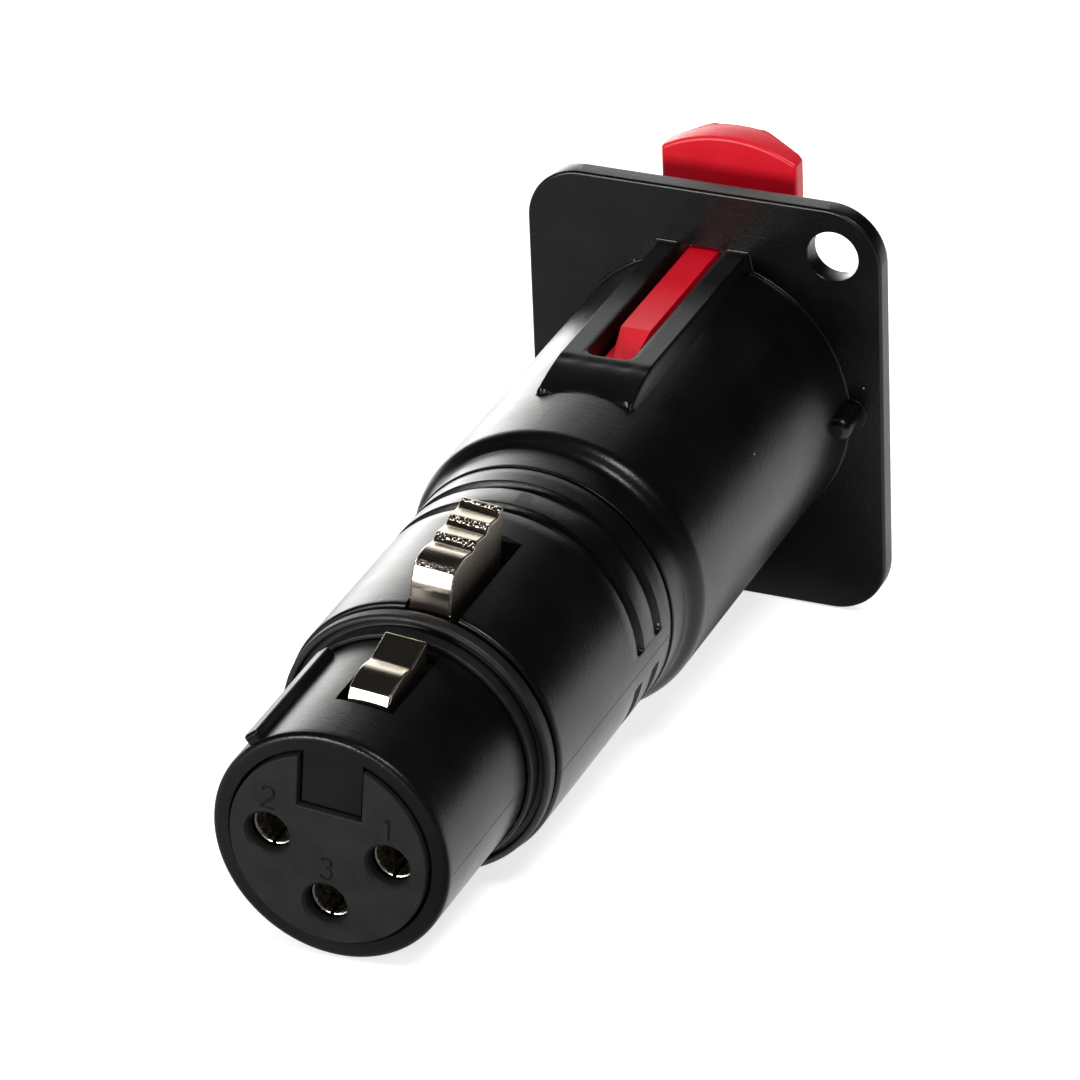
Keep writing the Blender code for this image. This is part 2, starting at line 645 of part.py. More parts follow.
def make_release_lever(red, pin_steel):
    base = BAR_HALF_WIDTH + BAR_BASE_EXTRA
    tab = prism(tab_outline(), upward, BAR_BOTTOM, TAB_TOP + GAP)
    lever = add_object("release_lever", tab, red, origin=LEVER_PIVOT)
    cut(lever, "crown_cut", prism(tab_crown(), along, TAB_REAR_Y - 2 * TAB_DEPTH, TAB_REAR_Y + GAP))
    inside_tab = TAB_REAR_Y - TAB_SIDE_DEPTH / 2
    end_top = BAR_BOTTOM + BAR_END_HEIGHT
    bar = [(inside_tab, BAR_BOTTOM), (BAR_END, BAR_BOTTOM), (BAR_END, end_top), (BAR_FOLD, BAR_TOP),
           (inside_tab, BAR_TOP)]
    bar_form = join(lever, "bar_form", prism(bar, across, -BAR_HALF_WIDTH, BAR_HALF_WIDTH))
    past = BAR_END + GAP
    side = BAR_HALF_WIDTH - BAR_END_TAPER * (past - BAR_FOLD) / (BAR_END - BAR_FOLD)
    wedge = [(BAR_HALF_WIDTH, BAR_FOLD), (side, past), (BAR_HALF_WIDTH + GAP, past), (BAR_HALF_WIDTH + GAP, BAR_FOLD)]
    cut(bar_form, "bar_taper", prism(wedge, upward, BAR_BOTTOM - GAP, BAR_TOP + GAP))
    floor = BAR_BOTTOM + GAP / 6
    rear = BAR_END - GAP / 3
    low = [(inside_tab, floor), (rear, floor), (rear, BAR_BASE_TOP), (inside_tab, BAR_BASE_TOP)]
    join(lever, "base_form", prism(low, across, -base, base))
    ear_top = BAR_BASE_TOP - GAP / 3
    ear_half = LEVER_BOSS_RADIUS
    ear = [(LEVER_PIVOT.y - ear_half, ear_top)]
    ear += arc((LEVER_PIVOT.y, LEVER_PIVOT.z), ear_half, 180.0, 360.0, 8)
    ear.append((LEVER_PIVOT.y + ear_half, ear_top))
    join(lever, "ear_form", prism(ear, across, GAP / 6 - base, base - GAP / 6))
    cut(lever, "lever_bore", cross_hole(LEVER_PIVOT, LEVER_PIN_RADIUS + SEAM, base + GAP))
    add_object("lever_pin", cross_hole(LEVER_PIVOT, LEVER_PIN_RADIUS, BOX_HALF_WIDTH - LEVER_PIN_COVER - GAP), pin_steel)


def make_plug_catch(steel):
    """A strip under the bar, bent down into the bore behind the plug's tip."""
    front = LEVER_PIVOT.y - CATCH_REACH
    back = CATCH_Y + CATCH_THICKNESS
    tip = PLUG_BORE_RADIUS - CATCH_BITE
    outline = [(front, CATCH_BOTTOM), (CATCH_Y, CATCH_BOTTOM), (CATCH_Y, tip), (back, tip), (back, CATCH_TOP),
               (front, CATCH_TOP)]
    add_object("plug_catch", prism(outline, across, -CATCH_HALF_WIDTH, CATCH_HALF_WIDTH), steel, origin=LEVER_PIVOT)


# Connector end

def shell_profile():
    """The casting's outside from spigot to nose, then back along its bore."""
    edge, step = BARREL_EDGE, BARREL_END
    return [(SPIGOT_RADIUS, SPIGOT_START), (SPIGOT_RADIUS, SHELL_START), (BARREL_RADIUS, SHELL_START),
            (BARREL_RADIUS, step - edge), (BARREL_RADIUS - edge * 0.3, step - edge * 0.3),
            (BARREL_RADIUS - edge, step), (NOSE_RADIUS, step), (NOSE_RADIUS, NOSE_END - NOSE_EDGE),
            (NOSE_RADIUS - NOSE_EDGE * 0.3, NOSE_END - NOSE_EDGE * 0.3), (NOSE_RADIUS - NOSE_EDGE, NOSE_END),
            (NOSE_BORE, NOSE_END), (NOSE_BORE, step - NOSE_ROOT_WALL), (BARREL_BORE, step - NOSE_ROOT_WALL),
            (BARREL_BORE, SPIGOT_START)]


def groove_sector(start, side, half):
    """One quarter-turn length of a groove round the barrel, from the bridge to the top or bottom."""
    bm = bmesh.new()
    steps = 18
    outer, inner = BARREL_RADIUS + GAP, BARREL_RADIUS - GROOVE_DEPTH
    section = [(outer, start - GAP * 0.4), (inner, start + GROOVE_DEPTH * 0.25),
               (inner, start + GROOVE_WIDTH - GROOVE_DEPTH * 0.25), (outer, start + GROOVE_WIDTH + GAP * 0.4)]
    first = PARTING
    last = math.pi - PARTING
    rings = []
    for step in range(2 * steps + 1):
        angle = first + (last - first) * step / (2 * steps)
        rings.append([bm.verts.new((side * radius * math.cos(angle), y, half * radius * math.sin(angle)))
                      for radius, y in section])
    for ring, following in zip(rings, rings[1:]):
        for corner in range(4):
            after = (corner + 1) % 4
            bm.faces.new((ring[corner], ring[after], following[after], following[corner]))
    bm.faces.new(rings[0])
    bm.faces.new(rings[-1])
    return bm


def make_xlr_shell(paint, end):
    shell = add_object("xlr_shell", lathe(shell_profile()), paint, end)
    for number, start in ((1, FIRST_GROOVE), (2, SECOND_GROOVE)):
        cut(shell, "groove_%d_upper" % number, groove_sector(start, 1, 1), end)
        cut(shell, "groove_%d_lower" % number, groove_sector(start, 1, -1), end)
    rib = block((-RIB_HALF_WIDTH, RIB_START, (NOSE_BORE + NOSE_RADIUS) / 2),
                (RIB_HALF_WIDTH, RIB_END, NOSE_RADIUS + RIB_HEIGHT))
    join(shell, "rib_form", spun(rib, RIB_ANGLE), end)
    lug_side = CHANNEL_HALF_WIDTH - SEAM
    lug = block((-lug_side, WINDOW_END + GAP, CHANNEL_FLOOR + SEAM), (lug_side, NOSE_END, (NOSE_BORE + NOSE_RADIUS) / 2))
    join(shell, "lug_form", lug, end)
    close = LATCH_HALF_WIDTH + SEAM
    cut(shell, "latch_slot", block((-LATCH_HALF_WIDTH - LATCH_SIDE_ROOM, LATCH_SLOT_START, ARM_TOP),
                                   (close, BARREL_END + GAP / 2, BARREL_RADIUS + GAP)), end)
    window = WINDOW_HALF_WIDTH
    cut(shell, "latch_window", block((-window, WINDOW_START, NOSE_BORE / 2), (window, WINDOW_END, NOSE_RADIUS + GAP)),
        end)
    cut(shell, "arm_passage", block((-window, BARREL_END - NOSE_ROOT_WALL - GAP, NOSE_BORE / 2),
                                    (window, WINDOW_START + GAP, NOSE_RADIUS - BRIDGE_WALL)), end)
    return shell


def make_nose_gasket(rubber, end):
    inner = NOSE_RADIUS + SEAM / 2
    seat = BARREL_END + GAP
    front = seat + GASKET_THICKNESS
    lip = inner + GASKET_LIP_WALL
    bead = GASKET_RADIUS - GASKET_BEAD_WALL
    soft = GASKET_EDGE
    profile = [(inner, seat), (GASKET_RADIUS, seat), (GASKET_RADIUS, front - soft), (GASKET_RADIUS - soft, front),
               (bead + soft / 2, front), (bead, front - GASKET_GROOVE_DEPTH), (lip, front - GASKET_GROOVE_DEPTH),
               (lip, front + GASKET_LIP_LENGTH - soft / 2), (lip - soft / 2, front + GASKET_LIP_LENGTH),
               (inner, front + GASKET_LIP_LENGTH)]
    return add_object("nose_gasket", lathe(profile), rubber, end)


CONTACT_PLACES = (("contact_1", -PIN_CIRCLE, 0.0), ("contact_2", PIN_CIRCLE, 0.0), ("contact_3", 0.0, -PIN_CIRCLE))


def make_contact_carrier(plastic, end):
    edge = CARRIER_EDGE
    profile = [(0.0, CARRIER_REAR), (CARRIER_RADIUS, CARRIER_REAR), (CARRIER_RADIUS, CARRIER_STEP),
               (CARRIER_NOSE_RADIUS, CARRIER_STEP), (CARRIER_NOSE_RADIUS, CARRIER_END - edge),
               (CARRIER_NOSE_RADIUS - edge, CARRIER_END), (0.0, CARRIER_END)]
    carrier = add_object("contact_carrier", lathe(profile), plastic, end)
    cut(carrier, "latch_channel", block((-CHANNEL_HALF_WIDTH, CARRIER_REAR - GAP, CHANNEL_FLOOR),
                                        (CHANNEL_HALF_WIDTH, CARRIER_END + GAP, CARRIER_RADIUS + GAP)), end)
    seat, tail = CONTACT_RADIUS + GAP, TAIL_RADIUS + GAP
    rear = CONTACT_START - GAP
    for name, x, z in CONTACT_PLACES:
        hole = [(0.0, CARRIER_REAR - GAP), (tail, CARRIER_REAR - GAP), (tail, rear), (seat, rear),
                (seat, CONTACT_END + GAP), (FACE_HOLE_RADIUS, CONTACT_END + GAP), (FACE_HOLE_RADIUS, CARRIER_END + GAP),
                (0.0, CARRIER_END + GAP)]
        cut(carrier, name + "_hole", lathe(hole, SMALL_ROUND, (x, z)), end)
    strip = SHELL_STRIP_HALF_WIDTH + GAP
    room = block((-strip, CARRIER_REAR - GAP, -CARRIER_RADIUS - GAP),
                 (strip, CARRIER_REAR + SHELL_STRIP_LENGTH + GAP, -strip_radius() + SHELL_STRIP_THICKNESS + 2 * GAP))
    cut(carrier, "strip_room", spun(room, -45.0), end)
    cut(carrier, "latch_pin_bore", cross_hole(LATCH_PIVOT, LATCH_PIN_RADIUS + SEAM, latch_pin_half() + GAP), end)
    return carrier


def latch_pin_half():
    """Half the latch pin's length: as long as the barrel's bore leaves room for at that height."""
    return math.sqrt(BARREL_BORE ** 2 - (LATCH_PIVOT.z + LATCH_PIN_RADIUS) ** 2) - GAP


def strip_radius():
    """How far out the tail of the shell's contact strip lies."""
    return BOARD_RADIUS - SHELL_STRIP_DEPTH


def make_contacts(metal, end):
    for name, x, z in CONTACT_PLACES:
        tail = BOARD_FRONT - TAIL_PROUD
        floor = CONTACT_START + CONTACT_FLOOR
        profile = [(0.0, tail), (TAIL_RADIUS, tail), (TAIL_RADIUS, CONTACT_START), (CONTACT_RADIUS, CONTACT_START),
                   (CONTACT_RADIUS, CONTACT_END), (CONTACT_BORE, CONTACT_END), (CONTACT_BORE, floor), (0.0, floor)]
        contact = add_object(name, lathe(profile, SMALL_ROUND, (x, z)), metal, end)
        reach = CONTACT_RADIUS + GAP
        slit = block((x - CONTACT_SLIT / 2, CONTACT_END - CONTACT_LENGTH * 0.4, z - reach),
                     (x + CONTACT_SLIT / 2, CONTACT_END + GAP, z + reach))
        cut(contact, name + "_slit", slit, end)


def make_shell_contact(metal, end):
    """A strip in the carrier's side that rubs on the shell, with a tail to the board."""
    thick = SHELL_STRIP_THICKNESS
    tail = strip_radius()
    rub = BARREL_BORE - SEAM
    start = BOARD_FRONT - TAIL_PROUD
    bend = CARRIER_REAR + 2 * GAP
    crest = CARRIER_REAR + SHELL_STRIP_LENGTH * 0.5
    last = CARRIER_REAR + SHELL_STRIP_LENGTH
    low = rub - SHELL_STRIP_SPRING
    rise = bend + SHELL_STRIP_RISE
    inside = thick * 0.67
    outer = [(start, -tail), (bend, -tail), (rise, -low), (crest, -rub), (last, -low)]
    inner = [(last, -low + thick), (crest, -rub + thick), (rise + inside, -low + thick), (bend + inside, -tail + thick),
             (start, -tail + thick)]
    strip = prism(outer + inner, across, -SHELL_STRIP_HALF_WIDTH, SHELL_STRIP_HALF_WIDTH)
    add_object("shell_contact", spun(strip, -45.0), metal, end)


def button_top():
    """The thumb rest from its rear edge to the front: three ridges and a rounded hump, in (y, z)."""
    slope = (BUTTON_FRONT_TOP - BUTTON_REAR_TOP) / (BUTTON_FRONT - BUTTON_REAR)
    ridge_end = BUTTON_FRONT - BUTTON_HUMP_LENGTH
    pitch = (ridge_end - BUTTON_REAR) / BUTTON_RIDGES
    points = []
    for ridge in range(BUTTON_RIDGES):
        start = BUTTON_REAR + ridge * pitch
        for share, height in ((0.0, 1.0), (0.12, 0.8), (0.34, 0.05), (0.44, 0.0), (0.72, 0.55)):
            y = start + share * pitch
            top = BUTTON_REAR_TOP + slope * (y - BUTTON_REAR)
            points.append((y, top - BUTTON_RIDGE_DEPTH * (1.0 - height)))
    crest = BUTTON_REAR_TOP + slope * (ridge_end - BUTTON_REAR)
    points += [(ridge_end, crest), (ridge_end + BUTTON_HUMP_LENGTH * 0.35, crest - BUTTON_SAG)]
    for share, fall in ((0.6, 0.2), (0.8, 0.38), (0.95, 0.65), (1.0, 1.0)):
        points.append((ridge_end + share * BUTTON_HUMP_LENGTH, crest - fall * BUTTON_NOSE_DROP))
    return points


def latch_outline():
    """The latch seen from its side, (y, z): boss, button, arm and hook."""
    boss = arc((LATCH_PIVOT.y, LATCH_PIVOT.z), LATCH_BOSS_RADIUS, 90.0, 270.0, 8)
    outline = [(BUTTON_REAR, LATCH_PIVOT.z + LATCH_BOSS_RADIUS)] + boss
    outline += [(BUTTON_REAR, LATCH_PIVOT.z - LATCH_BOSS_RADIUS), (BUTTON_REAR + ARM_FILLET, ARM_BOTTOM),
                (HOOK_FRONT, ARM_BOTTOM), (HOOK_FRONT, HOOK_LIP_TOP)]
    valley = NOSE_RADIUS + HOOK_VALLEY_RISE
    hump = NOSE_RADIUS + HOOK_HUMP_RISE
    outline += [(HOOK_FRONT - HOOK_EDGE, (HOOK_LIP_TOP + 2 * hump) / 3), (HOOK_FRONT - HOOK_HUMP_BACK, hump),
                (HOOK_FRONT - (HOOK_HUMP_BACK + HOOK_VALLEY_BACK) / 2, (valley + 2 * hump) / 3),
                (HOOK_FRONT - HOOK_VALLEY_BACK, valley), (HOOK_FRONT - HOOK_VALLEY_BACK - HOOK_EDGE, valley),
                (HOOK_REAR + HOOK_EDGE, HOOK_CREST), (HOOK_REAR, HOOK_CREST - HOOK_EDGE / 7), (HOOK_REAR, ARM_TOP),
                (BUTTON_FRONT, ARM_TOP)]
    outline += list(reversed(button_top()))
    return outline


def make_latch(nickel, steel, end):
    latch = add_object("latch_lever", prism(latch_outline(), across, -LATCH_HALF_WIDTH, LATCH_HALF_WIDTH), nickel, end,
                       origin=LATCH_PIVOT)
    cut(latch, "latch_bore", cross_hole(LATCH_PIVOT, LATCH_PIN_RADIUS + SEAM, LATCH_HALF_WIDTH + GAP), end)
    add_object("latch_pin", cross_hole(LATCH_PIVOT, LATCH_PIN_RADIUS, latch_pin_half()), steel, end)


# Between the two ends

def make_link_board(board_green):
    profile = [(0.0, BOARD_FRONT), (BOARD_RADIUS, BOARD_FRONT), (BOARD_RADIUS, BOARD_BACK), (0.0, BOARD_BACK)]
    board = add_object("link_board", lathe(profile, 48), board_green)
    hole = TAIL_RADIUS + GAP
    drill = [(0.0, BOARD_FRONT - GAP), (hole, BOARD_FRONT - GAP), (hole, BOARD_BACK + GAP), (0.0, BOARD_BACK + GAP)]
    for name, x, z in CONTACT_PLACES:
        cut(board, name + "_drill", lathe(drill, SMALL_ROUND, turned_place(x, z)))
    for name, bump, turn in LEAF_BUMPS:
        cut(board, name + "_board_slot", spun(leaf_tail_slot(BOARD_FRONT, BOARD_BACK), turn))
    half = SHELL_STRIP_HALF_WIDTH + GAP
    strip_slot = block((-half, BOARD_FRONT - GAP, -strip_radius() - GAP),
                       (half, BOARD_BACK + GAP, -strip_radius() + SHELL_STRIP_THICKNESS + GAP))
    cut(board, "strip_board_slot", spun(strip_slot, -45.0 + math.degrees(SHELL_TURN)))
    return board


def make_spacer_ring(plastic, end):
    low, high = BOARD_BACK + GAP, CARRIER_REAR - GAP
    outer = BOARD_RADIUS
    inner = outer - SPACER_WALL
    profile = [(inner, low), (outer, low), (outer, high), (inner, high)]
    return add_object("spacer_ring", lathe(profile, 48), plastic, end)


def main():
    for obj in list(bpy.data.objects):
        bpy.data.objects.remove(obj, do_unlink=True)
    paint = material("black paint", (0.012, 0.012, 0.013), 0.32)
    dark_plastic = material("dark plastic", (0.03, 0.03, 0.032), 0.55)
    red = material("red plastic", (0.62, 0.012, 0.035), 0.35)
    rubber = material("black rubber", (0.02, 0.019, 0.022), 0.6)
    nickel = material("nickel plate", (0.72, 0.66, 0.58), 0.22, 1.0)
    brass = material("plated brass", (0.78, 0.72, 0.6), 0.25, 1.0)
    steel = material("spring steel", (0.6, 0.6, 0.62), 0.3, 1.0)
    board_green = material("board", (0.02, 0.12, 0.05), 0.5)

    end = bpy.data.objects.new("connector_end", None)
    bpy.context.scene.collection.objects.link(end)
    end.rotation_euler = (0.0, SHELL_TURN, 0.0)

    make_jack_housing(paint)
    make_jack_insert(dark_plastic)
    make_sleeve_bushing(nickel)
    make_leaf_contacts(brass)
    make_insert_cap(dark_plastic)
    make_release_lever(red, steel)
    make_plug_catch(steel)
    coil("lever_spring", LEVER_SPRING_RADIUS, INSERT_CHANNEL_FLOOR + GAP, BAR_BOTTOM - GAP, LEVER_SPRING_Y, steel)

    make_xlr_shell(paint, end)
    make_nose_gasket(rubber, end)
    make_contact_carrier(dark_plastic, end)
    make_contacts(brass, end)
    make_shell_contact(brass, end)
    make_latch(nickel, steel, end)
    coil("latch_spring", LATCH_SPRING_RADIUS, CHANNEL_FLOOR + GAP, ARM_BOTTOM - GAP, LATCH_SPRING_Y, steel, end)

    make_link_board(board_green)
    make_spacer_ring(dark_plastic, end)


main()
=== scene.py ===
import math
import bmesh
import bpy
from mathutils import Matrix, Vector


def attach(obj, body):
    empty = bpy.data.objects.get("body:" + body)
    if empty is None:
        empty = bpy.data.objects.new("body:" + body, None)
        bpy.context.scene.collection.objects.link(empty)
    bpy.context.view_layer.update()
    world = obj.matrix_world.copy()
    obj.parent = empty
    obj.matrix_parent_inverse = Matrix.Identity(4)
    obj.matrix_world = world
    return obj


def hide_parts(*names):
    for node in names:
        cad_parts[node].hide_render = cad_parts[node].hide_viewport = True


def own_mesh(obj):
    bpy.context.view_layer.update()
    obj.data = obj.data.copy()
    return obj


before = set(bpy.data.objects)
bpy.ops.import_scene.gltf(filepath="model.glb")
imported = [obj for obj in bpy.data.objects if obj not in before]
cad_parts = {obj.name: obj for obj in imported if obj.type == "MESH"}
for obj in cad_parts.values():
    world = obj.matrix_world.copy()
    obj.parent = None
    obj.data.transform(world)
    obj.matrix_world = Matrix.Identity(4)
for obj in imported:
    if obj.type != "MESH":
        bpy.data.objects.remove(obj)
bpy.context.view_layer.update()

mm = 0.001                                  # sizes below are millimetres, meshes are metres
connectorTurn = -5.3                        # degrees that the connector end sits turned about the long axis
shellTurn = Matrix.Rotation(math.radians(connectorTurn), 4, "Y")
print("frame loaded, %d nodes" % len(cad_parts))


# camera: a long lens, at the photograph's place

photo = {"width": 1080.0, "focal": 7000.0, "sensor": 36.0, "place": (-163.15, 394.97, 228.42),
         "right": (-0.92075, -0.38844, -0.03652), "up": (0.16096, -0.46346, 0.87137)}


def makeCamera():
    right, up = Vector(photo["right"]), Vector(photo["up"])
    turn = Matrix((right, up, right.cross(up))).transposed()
    data = bpy.data.cameras.new("photoCamera")
    data.sensor_width = photo["sensor"]
    data.lens = photo["focal"] / photo["width"] * photo["sensor"]
    data.clip_start, data.clip_end = 0.02, 20.0
    camera = bpy.data.objects.new("photoCamera", data)
    camera.matrix_world = Matrix.Translation(Vector(photo["place"]) * mm) @ turn.to_4x4()
    bpy.context.scene.collection.objects.link(camera)
    bpy.context.scene.camera = camera


makeCamera()
print("camera set")


# outlines: lists of (u, v), walked once round

def arcPoints(centre, radius, start, end, steps):
    points = []
    for step in range(steps + 1):
        angle = math.radians(start + (end - start) * step / steps)
        points.append((centre[0] + radius * math.cos(angle), centre[1] + radius * math.sin(angle)))
    return points


# corners are (u, v) or (u, v, radius)
def filleted(corners, steps=4):
    count = len(corners)
    points = []
    for index, corner in enumerate(corners):
        here = Vector(corner[:2])
        radius = corner[2] if len(corner) > 2 else 0.0
        if radius <= 0.0:
            points.append(tuple(here))
            continue
        before = (Vector(corners[index - 1][:2]) - here).normalized()
        after = (Vector(corners[(index + 1) % count][:2]) - here).normalized()
        half = math.acos(max(-1.0, min(1.0, before.dot(after)))) / 2.0
        reach = radius / math.tan(half)
        middle = here + (before + after).normalized() * (radius / math.sin(half))
        first = here + before * reach - middle
        last = here + after * reach - middle
        sweep = math.atan2(first.x * last.y - first.y * last.x, first.dot(last))
        for step in range(steps + 1):
            angle = sweep * step / steps
            cosine, sine = math.cos(angle), math.sin(angle)
            points.append((middle.x + first.x * cosine - first.y * sine,
                           middle.y + first.x * sine + first.y * cosine))
    return points


# moves each point of a closed outline inwards by the same distance
def insetOutline(outline, inset):
    if abs(inset) < 1e-9:
        return list(outline)
    count = len(outline)
    area = sum(outline[i][0] * outline[(i + 1) % count][1] - outline[(i + 1) % count][0] * outline[i][1]
               for i in range(count))
    side = 1.0 if area > 0 else -1.0
    moved = []
    for index in range(count):
        here = Vector(outline[index])
        before = (here - Vector(outline[index - 1])).normalized()
        after = (Vector(outline[(index + 1) % count]) - here).normalized()
        inwards = [Vector((-way.y, way.x)) * side for way in (before, after)]
        both = inwards[0] + inwards[1]
        both = both / max(0.35, both.dot(inwards[0]))
        moved.append(tuple(here + both * inset))
    return moved


def roundRect(halfWidth, halfHeight, radius, steps=8):
    return filleted([(halfWidth, halfHeight, radius), (-halfWidth, halfHeight, radius),
                     (-halfWidth, -halfHeight, radius), (halfWidth, -halfHeight, radius)], steps)


# three ways to stand an outline (u, v) at a distance w
def alongX(u, v, w):
    return Vector((w, u, v))


def alongY(u, v, w):
    return Vector((u, w, v))


def alongZ(u, v, w):
    return Vector((u, v, w))


# solids

# joins rings of equal length; an open stack gets a cap at each end
def skin(rings, closed=False):
    bm = bmesh.new()
    made = [[bm.verts.new(point) for point in ring] for ring in rings]
    pairs = list(zip(made, made[1:]))
    if closed:
        pairs.append((made[-1], made[0]))
    else:
        bm.faces.new(made[0])
        bm.faces.new(made[-1])
    count = len(made[0])
    for first, second in pairs:
        for step in range(count):
            after = (step + 1) % count
            bm.faces.new((first[step], first[after], second[after], second[step]))
    return bm


# turns (radius, y) round the Y axis; a profile that starts on the axis gets flat ends
def turned(profile, sides=160, centre=(0.0, 0.0)):
    solid = profile[0][0] < 1e-6
    angles = [2 * math.pi * (k + 0.5) / sides for k in range(sides)]
    rings = [[Vector((centre[0] + radius * math.cos(a), y, centre[1] + radius * math.sin(a))) for a in angles]
             for radius, y in (profile[1:-1] if solid else profile)]
    return skin(rings, closed=not solid)


# stations (w, inset) of an extrusion whose end edges are rounded
def roundedEnds(low, high, edge, steps=3):
    angles = [math.pi / 2 * step / steps for step in range(steps + 1)]
    lower = [(low + edge * (1 - math.cos(a)), edge * (1 - math.sin(a))) for a in angles]
    return lower + [(low + high - w, inset) for w, inset in reversed(lower)]


def extruded(outline, place, stations):
    return skin([[place(u, v, w) for u, v in insetOutline(outline, inset)] for w, inset in stations])


def block(low, high):
    outline = [(low[1], low[2]), (high[1], low[2]), (high[1], high[2]), (low[1], high[2])]
    return extruded(outline, alongX, [(low[0], 0.0), (high[0], 0.0)])


# rounds every edge that is sharper than the angle
def softened(bm, width, segments=3, angle=25.0):
    bmesh.ops.recalc_face_normals(bm, faces=bm.faces)
    edges = [e for e in bm.edges if e.calc_face_angle(0.0) > math.radians(angle)]
    bmesh.ops.bevel(bm, geom=edges, offset=width, offset_type="OFFSET", segments=segments, profile=0.5,
                    affect="EDGES", clamp_overlap=True)
    return bm


def spun(bm, degrees):
    bmesh.ops.rotate(bm, verts=bm.verts, matrix=Matrix.Rotation(math.radians(degrees), 3, "Y"))
    return bm


# the mesh becomes an object in metres; pieces of the connector end are turned with it
def newPiece(name, bm, atEnd=False):
    bmesh.ops.recalc_face_normals(bm, faces=bm.faces)
    if atEnd:
        bmesh.ops.transform(bm, matrix=shellTurn, verts=bm.verts)
    bmesh.ops.scale(bm, verts=bm.verts, vec=(mm, mm, mm))
    mesh = bpy.data.meshes.new(name)
    bm.to_mesh(mesh)
    bm.free()
    piece = bpy.data.objects.new(name, mesh)
    bpy.context.scene.collection.objects.link(piece)
    return piece


# joins a solid to a piece or cuts it away, and keeps only the result
def combine(piece, operation, bm, atEnd=False):
    other = newPiece("carver", bm, atEnd)
    boolean = piece.modifiers.new("carve", "BOOLEAN")
    boolean.operation = operation
    boolean.object = other
    boolean.solver = "EXACT"
    graph = bpy.context.evaluated_depsgraph_get()
    result = bpy.data.meshes.new_from_object(piece.evaluated_get(graph))
    piece.modifiers.remove(boolean)
    piece.data = result
    bpy.data.objects.remove(other)


def join(piece, bm, atEnd=False):
    combine(piece, "UNION", bm, atEnd)


def cut(piece, bm, atEnd=False):
    combine(piece, "DIFFERENCE", bm, atEnd)


# faces square to the long axis stay flat up to their edges
def flattenEnds(mesh):
    square = [abs(face.normal.y) > 0.9999 for face in mesh.polygons]
    beside = {}
    for face in mesh.polygons:
        for index in face.loop_indices:
            beside.setdefault(mesh.loops[index].edge_index, []).append(square[face.index])
    for index, found in beside.items():
        if any(found) and not all(found):
            mesh.edges[index].use_edge_sharp = True


# shading, material, the body it rides on and the CAD nodes it stands for
def finishPiece(piece, finish, body, nodes, sharp=38.0):
    mesh = piece.data
    mesh.materials.clear()
    mesh.materials.append(finish)
    mesh.shade_smooth()
    mesh.set_sharp_from_angle(angle=math.radians(sharp))
    flattenEnds(mesh)
    weighted = piece.modifiers.new("weightedNormals", "WEIGHTED_NORMAL")
    weighted.keep_sharp = True
    weighted.weight = 60
    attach(piece, body)
    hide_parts(*nodes)
    return piece


# finishes

def newFinish(name, color, roughness, metallic=0.0):
    made = bpy.data.materials.new(name)
    made.use_nodes = True
    shader = made.node_tree.nodes["Principled BSDF"]
    shader.inputs["Base Color"].default_value = (*color, 1.0)
    shader.inputs["Roughness"].default_value = roughness
    shader.inputs["Metallic"].default_value = metallic
    return made, made.node_tree, shader


# noise in the object's own space; scale is about how many grains lie along a metre
def grainOf(tree, scale, detail=2.0, rough=0.5):
    place = tree.nodes.new("ShaderNodeTexCoord")
    grain = tree.nodes.new("ShaderNodeTexNoise")
    grain.inputs["Scale"].default_value = scale
    grain.inputs["Detail"].default_value = detail
    grain.inputs["Roughness"].default_value = rough
    tree.links.new(place.outputs["Object"], grain.inputs["Vector"])
    return grain.outputs["Fac"]


def spread(tree, value, low, high, fromLow=0.3, fromHigh=0.7):
    span = tree.nodes.new("ShaderNodeMapRange")
    for name, setting in (("From Min", fromLow), ("From Max", fromHigh), ("To Min", low), ("To Max", high)):
        span.inputs[name].default_value = setting
    tree.links.new(value, span.inputs["Value"])
    return span.outputs["Result"]


def blendColor(tree, factor, first, second):
    mix = tree.nodes.new("ShaderNodeMix")
    mix.data_type = "RGBA"
    tree.links.new(factor, mix.inputs["Factor"])
    for socket, color in ((mix.inputs[6], first), (mix.inputs[7], second)):
        if isinstance(color, tuple):
            socket.default_value = (*color, 1.0)
        else:
            tree.links.new(color, socket)
    return mix.outputs[2]


def mathOf(tree, operation, first, second):
    node = tree.nodes.new("ShaderNodeMath")
    node.operation = operation
    for socket, value in zip(node.inputs, (first, second)):
        if isinstance(value, float):
            socket.default_value = value
        else:
            tree.links.new(value, socket)
    return node.outputs[0]


# links colour, roughness and bumps; layers are (height, depth in millimetres), laid one on the other
def dress(tree, shader, tone, roughness, layers):
    tree.links.new(tone, shader.inputs["Base Color"])
    tree.links.new(roughness, shader.inputs["Roughness"])
    last = None
    for height, depth in layers:
        bump = tree.nodes.new("ShaderNodeBump")
        bump.inputs["Strength"].default_value = 1.0
        bump.inputs["Distance"].default_value = depth * mm
        tree.links.new(height, bump.inputs["Height"])
        if last is not None:
            tree.links.new(last, bump.inputs["Normal"])
        last = bump.outputs["Normal"]
    tree.links.new(last, shader.inputs["Normal"])


# small dots: size is a share of the cell, share is how many cells have one
def specksOf(tree, scale, size, share):
    place = tree.nodes.new("ShaderNodeTexCoord")
    cells = tree.nodes.new("ShaderNodeTexVoronoi")
    cells.inputs["Scale"].default_value = scale
    tree.links.new(place.outputs["Object"], cells.inputs["Vector"])
    tone = tree.nodes.new("ShaderNodeSeparateColor")
    tree.links.new(cells.outputs["Color"], tone.inputs["Color"])
    near = mathOf(tree, "LESS_THAN", cells.outputs["Distance"], size)
    chosen = mathOf(tree, "LESS_THAN", tone.outputs["Red"], share)
    return mathOf(tree, "MULTIPLY", near, chosen)


